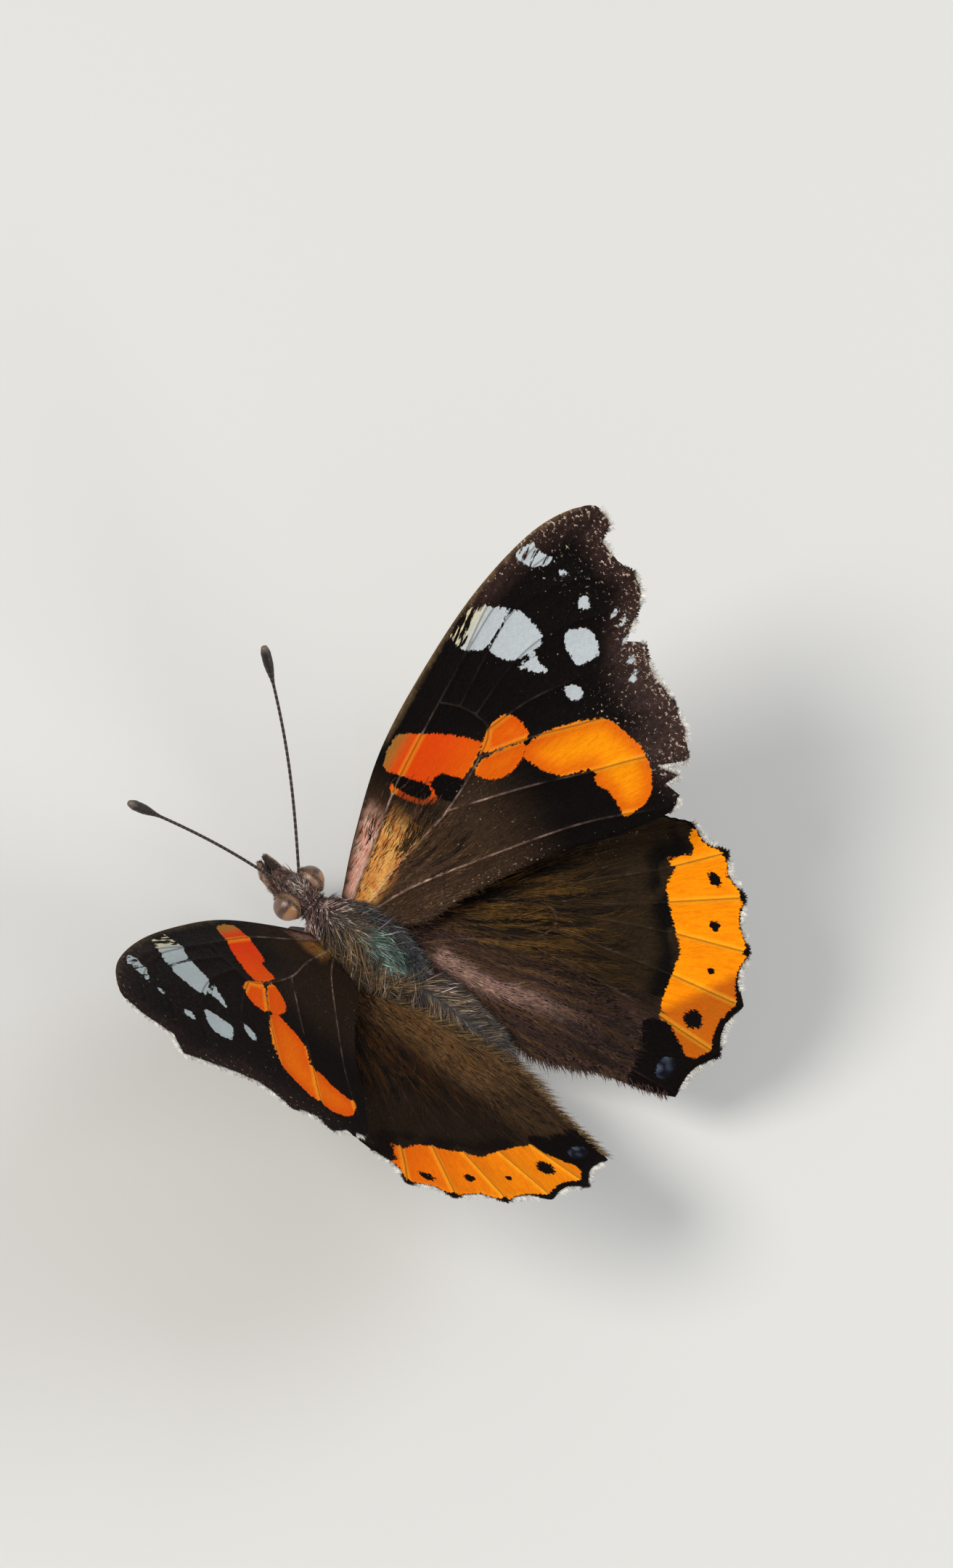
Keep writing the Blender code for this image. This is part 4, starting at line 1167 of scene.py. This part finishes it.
def coatTints(paint, y, angle, roots):    # colours of a body coat's tufts, lock by lock
    measures = {
        **hairTones, "y": y, "chance": rng.uniform(0, 1, len(y)),
        "leftSide": leftSide(angle), "rightSide": smoothRamp(np.cos(angle), 0.1, 0.5),
        "crown": smoothRamp(np.hypot(roots[:, 0], y - 5.05), 0.75, 0.25) * (roots[:, 2] > 0),
        # the top of the thorax, where the teal sheen is painted
        "back": smoothRamp(y, 1.5, -0.6) * smoothRamp(np.sin(angle), 0.5, 0.85) * smoothRamp(y, -3.6, -2.8),
    }
    tints = laid(paint, measures, colour=bodyTone(y, angle))
    lock = valueNoise(np.column_stack([angle * 4.0 * np.sign(roots[:, 0]) + y * 0.6, y * 0.8]), 2.4, 83)
    shade = (1 + 0.5 * lock).clip(0.25, 1.9)
    return varied(tints * np.column_stack([shade, shade, shade, np.ones(len(y))]), 0.28)


makeSkin()
for coatName, coat in bodyCoats.items():
    makeBodyCoat(coatName, coat)
print("body made")


# Hair on the wings, and the fringe round their edges.
wingCoats = {    # tufts, how far out they grow, their length and tones from deep to lit; the ridge tone on the fold is painted highlight, and the left wings' darker tones are painted shade
    "hindwingRight": dict(count=10000, reach=15.0, length=(0.9, 2.3), stand=0.10, deep=tone(18, 11, 7),
                          lit=tone(150, 108, 46), inner=tone(104, 76, 70), ridge=tone(230, 184, 164)),
    "hindwingLeft": dict(count=9000, reach=14.0, length=(0.9, 2.1), stand=0.10, deep=tone(13, 8, 6),
                         lit=tone(104, 64, 27), inner=tone(164, 122, 76), ridge=tone(140, 98, 56)),
    "forewingRight": dict(count=3600, reach=9.5, length=(0.5, 1.2), deep=tone(30, 20, 15),
                          lit=tone(150, 112, 76), inner=tone(112, 88, 76), stand=0.09),
    "forewingLeft": dict(count=2000, reach=6.5, length=(0.4, 1.0), deep=tone(18, 12, 9),
                         lit=tone(74, 52, 36), inner=tone(60, 44, 34), stand=0.08),
}
wingHairWidth = (0.034, 0.060)


def wingPlaces(spots):    # unwrap of a wing, laid flat
    return (spots + (2, 20)) / (36, 26) * 0.9 + 0.05


def wingAxes(name, spots, run):    # a direction in the wing's plane, and the way up from it
    here = onWing(name, spots, 0.0)
    lean = unit(onWing(name, spots + run * 0.1, 0.0) - here)
    across = unit(onWing(name, spots + run[:, ::-1] * (-0.1, 0.1), 0.0) - here)
    upward = unit(np.cross(lean, across))
    return lean, upward * np.sign(upward[:, 2:3])


def makeWingCoat(name, coat):
    loop, lines = wingLoops[name]
    hind = name.startswith("hind")
    most = coat["count"]
    tries = rng.uniform((-0.3, -17.0 if hind else -6.0), (16.0, 1.8), (most * 5, 2))
    ray = rayOf(name, tries)
    far = np.hypot(tries[:, 0], tries[:, 1])
    keep = depthIn(tries, loop) > 0.15
    chance = rng.uniform(0, 1, len(tries))
    inner = smoothRamp(awayFromBody(tries), 3.6, 0.6)
    dense = np.maximum(smoothRamp(far, coat["reach"], coat["reach"] * 0.45), 0.9 * inner * hind)
    if hind:    # bare towards the front edge and on the markings, thick down the middle of the wing
        dense *= smoothRamp(tries[:, 1], 0.5, -2.2)
        keep &= (depthIn(tries, hindBand()) < -0.9) & (depthInAny(tries, hindDark) < -0.5)
    else:
        dense *= np.where(tries[:, 1] > frontVein(tries[:, 0]) - 1.6, 0.25, 1.0)
    keep &= chance < dense
    tries, ray, far, inner = (some[keep][:most] for some in (tries, ray, far, inner))
    count = len(tries)
    run = unit(tries - np.array(wingShape["hindFan" if hind else "foreFan"]))
    bend = 0.30 * valueNoise(tries, 1.1, 51) + rng.normal(0, 0.10, count)
    run = np.column_stack([run[:, 0] * np.cos(bend) - run[:, 1] * np.sin(bend),
                           run[:, 0] * np.sin(bend) + run[:, 1] * np.cos(bend)])
    _, _, top, _ = wingRelief(tries, loop, lines)
    roots = onWing(name, tries, top - 0.02)
    lean, upward = wingAxes(name, tries, run)
    lean = lean + upward * np.abs(rng.normal(coat["stand"], 0.05, count))[:, None]
    strand = valueNoise(ray * (3.0, 0.25), 1.6, 61) * 0.5 + 0.5
    tints = mixTones(coat["deep"], coat["lit"], strand * 1.5 + rng.normal(-0.45, 0.20, count))
    tints = mixTones(tints, coat["inner"], inner * rng.uniform(0.1, 0.9, count))
    if hind:
        # lightens the hair on the fold's crest: painted highlight
        tints = mixTones(tints, coat["ridge"], foldRidge(tries) * rng.uniform(0.2, 1.0, count))
    tints = mixTones(tints, coat["deep"], 0.65 * smoothRamp(far, 8.0, 14.0))
    lengths = rng.uniform(*coat["length"], count) * (0.75 + 0.25 * smoothRamp(far, 2.0, 6.0))
    lengths *= 1 - 0.45 * inner
    widths = rng.uniform(*wingHairWidth, count)
    hairCoat(name + "Coat", roots, lean, upward, lengths, widths, varied(tints, 0.16),
             wingPlaces(tries), wingHair, rings=3, bow=0.10, curl=0.10)


fringeShape = {
    "perStep": 12, "length": (0.28, 0.52), "width": 0.075,
    "pale": tone(246, 242, 232), "dark": tone(34, 24, 20),
    "innerWidth": 0.055, "innerDark": tone(44, 32, 22),
    "inner": {    # along the edge nearest the body: length, tufts a step, tone
        "hindwingRight": ((0.5, 1.2), 14, tone(116, 86, 74)),
        "hindwingLeft": ((0.9, 1.8), 18, tone(146, 116, 76)),
        "forewingRight": ((0.2, 0.6), 8, tone(78, 60, 48)),
        "forewingLeft": ((0.15, 0.4), 6, tone(26, 18, 14)),
    },
}


def makeFringe(name):
    loop, lines = wingLoops[name]
    hind = name.startswith("hind")
    shape = fringeShape
    innerLength, innerPerStep, innerTone = shape["inner"][name]
    nextOne = np.roll(loop, -1, axis=0)
    along = unit(nextOne - loop)
    outward = np.column_stack([along[:, 1], -along[:, 0]])
    if depthIn((loop + nextOne)[:1] / 2 + outward[:1] * 0.05, loop)[0] > 0:
        outward = -outward
    lowest, nearest = (-4.6, 7.9) if hind else (-0.8, 17.0)
    outer = (loop[:, 1] < lowest) & (loop[:, 0] > nearest)
    inner = (loop[:, 1] < -2.0) & ~outer & (loop[:, 0] < 8.4)
    for part, where, each in (("Fringe", outer, shape["perStep"]), ("InnerFringe", inner, innerPerStep)):
        pick = np.repeat(np.nonzero(where)[0], each)
        count = len(pick)
        share = rng.uniform(0, 1, count)[:, None]
        places = loop[pick] * (1 - share) + nextOne[pick] * share - outward[pick] * 0.06
        if part == "Fringe":    # pale, and dark at the end of each vein
            run = unit(outward[pick] + rng.normal(0, 0.22, (count, 2)))
            lengths = rng.uniform(*shape["length"], count)
            ends = np.array([line[-1] for line in lines])
            tipGap = np.min(np.linalg.norm(places[:, None] - ends[None], axis=2), axis=1)
            patchy = valueNoise(places, 2.4, 71)
            pale = smoothRamp(tipGap, 0.40, 0.65) * smoothRamp(patchy, -0.75, -0.45)
            tints = mixTones(shape["dark"], shape["pale"], pale)
            lengths *= np.where(patchy < -0.55, 0.4, 1.0) * (0.5 + 0.5 * pale)
            stand, width = rng.normal(0.0, 0.12, count), shape["width"]
            variety, rootShade = 0.1, 0.8
        else:
            trail = unit(places - np.array(wingShape["hindFan" if hind else "foreFan"]))
            run = unit(outward[pick] * 0.9 + trail * 0.8 + rng.normal(0, 0.16, (count, 2)))
            lengths = rng.uniform(*innerLength, count)
            lengths *= 0.55 + 0.45 * smoothRamp(places[:, 1], -15.5, -11.0)
            tints = mixTones(innerTone, shape["innerDark"], (rng.uniform(0, 1, count) < 0.35) * 0.8)
            places = places - outward[pick] * rng.uniform(0, 0.5, count)[:, None]
            stand, width = np.abs(rng.normal(0.15, 0.12, count)), shape["innerWidth"]
            variety, rootShade = 0.2, 0.5
        _, _, top, bottom = wingRelief(places, loop, lines)
        lean, upward = wingAxes(name, places, run)
        lean = lean + upward * stand[:, None]
        hairCoat(name + part, onWing(name, places, (top + bottom) / 2), lean, upward, lengths,
                 width * rng.uniform(0.8, 1.2, count), varied(tints, variety), wingPlaces(places),
                 wingHair, bow=0.05, curl=0.12, rootShade=rootShade)


wingHair = makeHairMaterial("wingHair", 0.6, 0.0, 0.15)
for wingName, coat in wingCoats.items():
    makeWingCoat(wingName, coat)
    makeFringe(wingName)
print("wing hair and fringes made")


# Eyes: facets laid out like seeds in a sunflower, each a low dome.
def makeEye(word, side):
    facets = eyeShape["facets"]
    k = np.arange(facets) + 0.5
    height = 1 - 2 * k / facets
    around = np.pi * (1 + 5 ** 0.5) * k
    wide = np.sqrt(1 - height ** 2)
    centres = np.stack([wide * np.cos(around), wide * np.sin(around), height], 1)
    rings, sides = eyeShape["rings"], 2 * eyeShape["rings"]
    polar = np.repeat(np.pi * (np.arange(1, rings) / rings), sides)
    turn = np.tile(2 * np.pi * np.arange(sides) / sides, rings - 1)
    ball = np.stack([np.cos(polar), np.sin(polar) * np.cos(turn), np.sin(polar) * np.sin(turn)], -1)
    ball = np.vstack([ball, [[1, 0, 0], [-1, 0, 0]]])
    nearest = np.concatenate([np.max(some @ centres.T, axis=1) for some in np.array_split(ball, 8)])
    apart = np.arccos(np.clip(nearest, -1, 1)) / math.sqrt(4 / facets)
    dome = np.clip(1 - (apart / 0.95) ** 2, 0, 1)
    radii = np.array(eyeShape["radii"]) + eyeShape["facetRise"] * (dome[:, None] - 1)
    points = ball * radii + np.array(eyeShape["centre"])
    points[:, 0] *= side
    faces = capped(rings - 1, sides, len(ball) - 2, len(ball) - 1)
    if side < 0:
        faces = [face[::-1] for face in faces]
    piece = addPiece("eye" + word, points, faces, [eyeMaterial], ["eye_" + word.lower()])
    keepValues(piece, "ball", ball)
    keepValues(piece, "dome", dome)


def makeEyeMaterial():
    inks = eyeShape
    look = Recipe("eyeFacets", Roughness=0.25, Coat_Weight=0.5, Coat_Roughness=0.15, Specular_IOR_Level=0.5)
    ball = look.read("ball", "Vector")
    parts = look.add("SeparateXYZ", {0: ball}).outputs
    ahead = look.plus(parts[1], look.times(look.less(look.noise(ball, 3.0, 3.0), 0.5), 0.35))
    colour = look.mix(look.spread(ahead, -0.5, 0.6), inks["rear"], inks["front"])
    crescent = look.times(look.spread(ahead, -0.35, -0.10), look.spread(ahead, 0.40, 0.12))
    colour = look.mix(look.times(crescent, 0.9), colour, inks["band"])
    speckle = look.noise(ball, 30.0, 2.0)
    colour = look.mix(look.spread(speckle, 0.55, 0.7, 0.0, 0.5), colour, inks["speckle"])
    colour = look.mix(look.spread(parts[0], 0.04, -0.04), colour, inks["socket"])
    dome = look.read("dome")
    colour = look.mix(look.spread(dome, 0.0, 0.45, 0.5, 0.0), colour, inks["groove"])
    return look.finish(colour, look.spread(speckle, 0.3, 0.7, 0.18, 0.34), look.bump(dome, 0.25, 0.02))


def makeEyeRim(word, side):    # pale scales that frame the eye
    count = eyeShape["rimTufts"]
    turn = rng.uniform(0, 2 * math.pi, count)
    reach = rng.uniform(-0.20, 0.02, count)
    wide = np.sqrt(1 - reach ** 2)
    ball = np.column_stack([reach, np.cos(turn) * wide, np.sin(turn) * wide])
    roots = ball * np.array(eyeShape["radii"]) * 0.98 + np.array(eyeShape["centre"])
    normal = unit(ball / np.array(eyeShape["radii"]))
    lean = normal * 0.9 + (0.7, -0.25, 0.0) + rng.normal(0, 0.2, (count, 3))
    for group in (roots, normal, lean):
        group[:, 0] *= side
    tints = mixTones(eyeShape["rimTone"], eyeShape["rimDark"], (rng.uniform(0, 1, count) < 0.35) * 0.8)
    places = np.column_stack([turn / (2 * math.pi) * 0.9 + 0.05, reach + 0.5])
    hairCoat("eyeRim" + word, roots, lean, normal, rng.uniform(0.12, 0.26, count), np.full(count, 0.045),
             varied(tints, 0.12), places, bodyHair)


eyeMaterial = makeEyeMaterial()
for word, side in (("Right", 1.0), ("Left", -1.0)):
    makeEye(word, side)
    makeEyeRim(word, side)
print("eyes made")


# Feelers, palps and legs are tubes along a path.
def limb(path, radii, sides=14):
    path = np.asarray(path, float)
    along = unit(np.gradient(path, axis=0))
    across = np.cross(along[0], (0.0, 0.0, 1.0))
    across = unit(across if np.linalg.norm(across) > 0.1 else np.array([1.0, 0.0, 0.0]))
    turn = np.arange(sides) * 2 * np.pi / sides
    rings = []
    normals = []
    for place, forward, radius in zip(path, along, radii):
        across = unit(across - forward * (across @ forward))
        spoke = np.cos(turn)[:, None] * across + np.sin(turn)[:, None] * np.cross(across, forward)
        rings.append(place + spoke * radius)
        normals.append(spoke)
    points = np.vstack(rings + [[path[0]], [path[-1]]])
    faces = capped(len(path), sides, len(points) - 2, len(points) - 1)
    return points, faces, np.vstack(normals + [[-along[0]], [along[-1]]])


def joined(parts):    # several (points, faces, tint) as one
    points, faces, tints = [], [], []
    start = 0
    for somePoints, someFaces, someTints in parts:
        points.append(somePoints)
        faces += [tuple(start + k for k in face) for face in someFaces]
        tints.append(np.broadcast_to(np.asarray(someTints, float), (len(somePoints), 4)))
        start += len(somePoints)
    return np.vstack(points), faces, np.vstack(tints)


hornPatch = tone(20, 14, 10)


def makeHornMaterial(name, roughness, scale):
    look = Recipe(name, Roughness=roughness, Specular_IOR_Level=0.5)
    place = look.add("TexCoord").outputs["Object"]
    patches = look.noise(place, scale, 3.0)
    colour = look.mix(look.spread(patches, 0.4, 0.75, 0.0, 0.5), look.read("tint", "Color"), hornPatch)
    height = look.noise(place, scale * 5, 3.0)
    return look.finish(colour, look.spread(patches, 0.3, 0.7, roughness - 0.08, roughness + 0.15),
                       look.bump(height, 0.5, 0.03))


feelers = {
    "root": (0.42, 5.4, 1.0), "reach": (6.25, 10.1, 10.1), "bow": {"Right": 0.6, "Left": -0.35},
    "radius": 0.095, "clubRadius": 0.31, "clubStart": 0.81, "segments": 40,
    "sides": 16, "dark": tone(30, 21, 16), "ring": tone(150, 128, 104), "tip": tone(112, 96, 80),
}


def makeFeeler(word, side):
    shape = feelers
    shares = np.linspace(0, 1, shape["segments"] * 6 + 1)
    path = np.array(shape["root"]) + shares[:, None] * np.array(shape["reach"])
    path[:, 0] += shape["bow"][word] * np.sin(np.pi * shares)
    path[:, 0] *= side
    club = smoothRamp(shares, shape["clubStart"], 0.93) * (1 - smoothRamp(shares, 0.965, 1.01) * 0.75)
    phase = (shares * shape["segments"]) % 1.0
    radii = shape["radius"] * (1 - 0.10 * np.exp(-((phase - 0.02) / 0.12) ** 2))
    radii = radii + (shape["clubRadius"] - shape["radius"]) * club * (1 - 0.04 * (phase < 0.15))
    radii[-1] *= 0.4
    sides = shape["sides"]
    points, faces, normals = limb(path, radii, sides)
    ring = np.repeat((phase < 0.28) * (1 - club), sides)    # pale rings, clearest on the inner side
    inward = np.clip(-normals[:-2, 0] * side * 0.7 - normals[:-2, 2] * 0.7, 0, 1)
    tint = mixTones(shape["dark"], shape["ring"], np.append(ring * (0.25 + 0.75 * inward), [0, 0]))
    tipShare = np.append(np.repeat(smoothRamp(shares, 0.972, 0.995), sides), [0, 1])
    tint = mixTones(tint, shape["tip"], tipShare * 0.8)
    node = "antenna_" + word.lower()
    piece = addPiece("antenna" + word, points, faces, [feelerMaterial], [node])
    keepValues(piece, "tint", tint)


feelerMaterial = makeHornMaterial("feelerScales", 0.45, 4000.0)
for word, side in (("Right", 1.0), ("Left", -1.0)):
    makeFeeler(word, side)
print("feelers made")


palps = {
    "joints": [(0.42, 5.7, -0.20), (0.40, 7.0, 0.05), (0.30, 7.83, 0.74)], "radii": (0.27, 0.29, 0.10),
    "sides": 14, "tufts": 3000, "length": (0.28, 0.60), "width": 0.06,
    "dark": tone(58, 38, 30), "pale": tone(206, 168, 144),
}


def makePalp(word, side):
    path = smoothLine(palps["joints"], 0.08)
    path[:, 0] *= side
    share = np.linspace(0, 1, len(path))
    radii = np.interp(share, [0, 0.6, 1], palps["radii"])
    sides = palps["sides"]
    points, faces, normals = limb(path, radii, sides)
    piece = addPiece("palp" + word, points, faces, [feelerMaterial], ["palp_" + word.lower()])
    keepValues(piece, "tint", np.tile(palps["dark"], (len(points), 1)))
    count = palps["tufts"]
    pick = rng.integers(0, len(path) * sides, count)
    row = pick // sides
    along = unit(np.gradient(path, axis=0))[row]
    normal = normals[pick]
    jitter = rng.normal(0, 0.03, (count, 3))
    lean = along + normal * rng.uniform(0.15, 0.5, count)[:, None] + jitter * 3
    outer = smoothRamp(normal[:, 0] * side, 0.1, 0.8)
    tints = mixTones(palps["dark"], palps["pale"], outer * 0.8)
    lengths = rng.uniform(*palps["length"], count) * (1 - 0.4 * share[row])
    places = np.stack([0.1 + 0.8 * (pick % sides) / sides, 0.05 + 0.9 * share[row]], axis=1)
    widths = np.full(count, palps["width"])
    hairCoat("palpCoat" + word, points[pick] + jitter * 0.5, lean, normal, lengths, widths,
             varied(tints, 0.25), places, bodyHair)


for word, side in (("Right", 1.0), ("Left", -1.0)):
    makePalp(word, side)


legs = {
    "joints": {
        "foreleg": [(0.75, 2.6, -1.3), (1.15, 4.2, -2.35), (1.0, 3.0, -2.75), (0.95, 2.2, -2.8)],
        "midleg": [(1.0, 0.7, -1.6), (4.2, 1.9, -1.9), (5.9, 2.7, -4.80), (8.1, 3.9, -4.88)],
        "hindleg": [(0.9, -1.9, -1.5), (3.5, -4.6, -1.9), (4.9, -6.6, -4.80), (6.2, -9.3, -4.88)],
    },
    "femur": (0.27, 0.17), "shin": (0.17, 0.13), "foot": 0.115, "footParts": (0.36, 0.20, 0.16, 0.13, 0.15),
    "claw": 0.30, "clawRadius": 0.035, "clawSpread": 0.12, "spines": 26, "forelegSpines": 6,
    "spineLength": 0.26, "spineRadius": 0.022, "femurTone": tone(58, 46, 36), "shinTone": tone(128, 98, 70),
    "footTone": tone(150, 112, 76), "clawTone": tone(40, 24, 14),
}


def makeLeg(kind, word, side):
    joints = [np.array(joint) * (side, 1, 1) for joint in legs["joints"][kind]]
    stands = kind != "foreleg"
    parts = []

    def stretch(start, end, first, last, swell, colour):    # thigh or shin, swollen in the middle
        share = np.linspace(0, 1, 16)
        path = joints[start] + share[:, None] * (joints[end] - joints[start])
        radii = np.interp(share, [0, 1], [first, last]) * (1 + swell * np.sin(np.pi * share))
        radii *= np.sqrt(np.clip(1 - (2 * share - 1) ** 14, 0.15, 1))
        parts.append((*limb(path, radii)[:2], colour))

    stretch(0, 1, *legs["femur"], 0.25, legs["femurTone"])
    stretch(1, 2, *legs["shin"], 0.10, legs["shinTone"])
    run = joints[3] - joints[2]
    cuts = np.cumsum([0.0, *legs["footParts"]]) if stands else np.array([0.0, 1.0])
    inner = np.linspace(0, 1, 8)
    for first, last in zip(cuts, cuts[1:]):
        path = joints[2] + np.linspace(first, last, 8)[:, None] * run
        radii = legs["foot"] * (0.72 + 0.28 * inner) * np.sqrt(np.clip(1 - (2 * inner - 1) ** 10, 0.2, 1))
        colour = mixTones(legs["footTone"], legs["femurTone"], 0.35 * first)
        parts.append((*limb(path, radii, 12)[:2], colour))
    forward = unit(run)
    sideways = unit(np.cross(forward, (0, 0, 1.0)))
    if stands:
        share = np.linspace(0, 1, 9)
        lift = 0.05 * np.sin(np.pi * share) - 0.07 * share
        for direction in (-1.0, 1.0):
            path = joints[3] + forward * legs["claw"] * share[:, None] + np.outer(lift, (0, 0, 1))
            path = path + np.outer(np.sin(share * 1.6), sideways * direction * legs["clawSpread"])
            parts.append((*limb(path, legs["clawRadius"] * (1 - 0.85 * share), 8)[:2], legs["clawTone"]))
    t = np.linspace(0, 1, 4)
    for start, end in ((1, 2), (2, 3)):
        bone = joints[end] - joints[start]
        axis = unit(bone)
        reach = legs["spineLength"] * (0.6 if end == 3 else 1.0)
        for _ in range(legs["spines" if stands else "forelegSpines"]):
            share = rng.uniform(0.1, 0.97)
            out = unit(np.cross(axis, rng.normal(0, 1, 3)))
            if end == 3:    # none points into the floor
                out[2] = max(out[2], -0.15)
            path = joints[start] + share * bone + out * 0.09 + np.outer(t, unit(out + axis * 1.3) * reach)
            parts.append((*limb(path, legs["spineRadius"] * (1 - 0.9 * t), 5)[:2], legs["clawTone"]))
    points, faces, tints = joined(parts)
    points[:, 2] = np.maximum(points[:, 2], floorHeight)
    piece = addPiece(kind + word, points, faces, [legMaterial], [kind + "_" + word.lower()])
    keepValues(piece, "tint", tints)


legMaterial = makeHornMaterial("legScales", 0.5, 3000.0)
for kind in legs["joints"]:
    for word, side in (("Right", 1.0), ("Left", -1.0)):
        makeLeg(kind, word, side)
print("legs made")
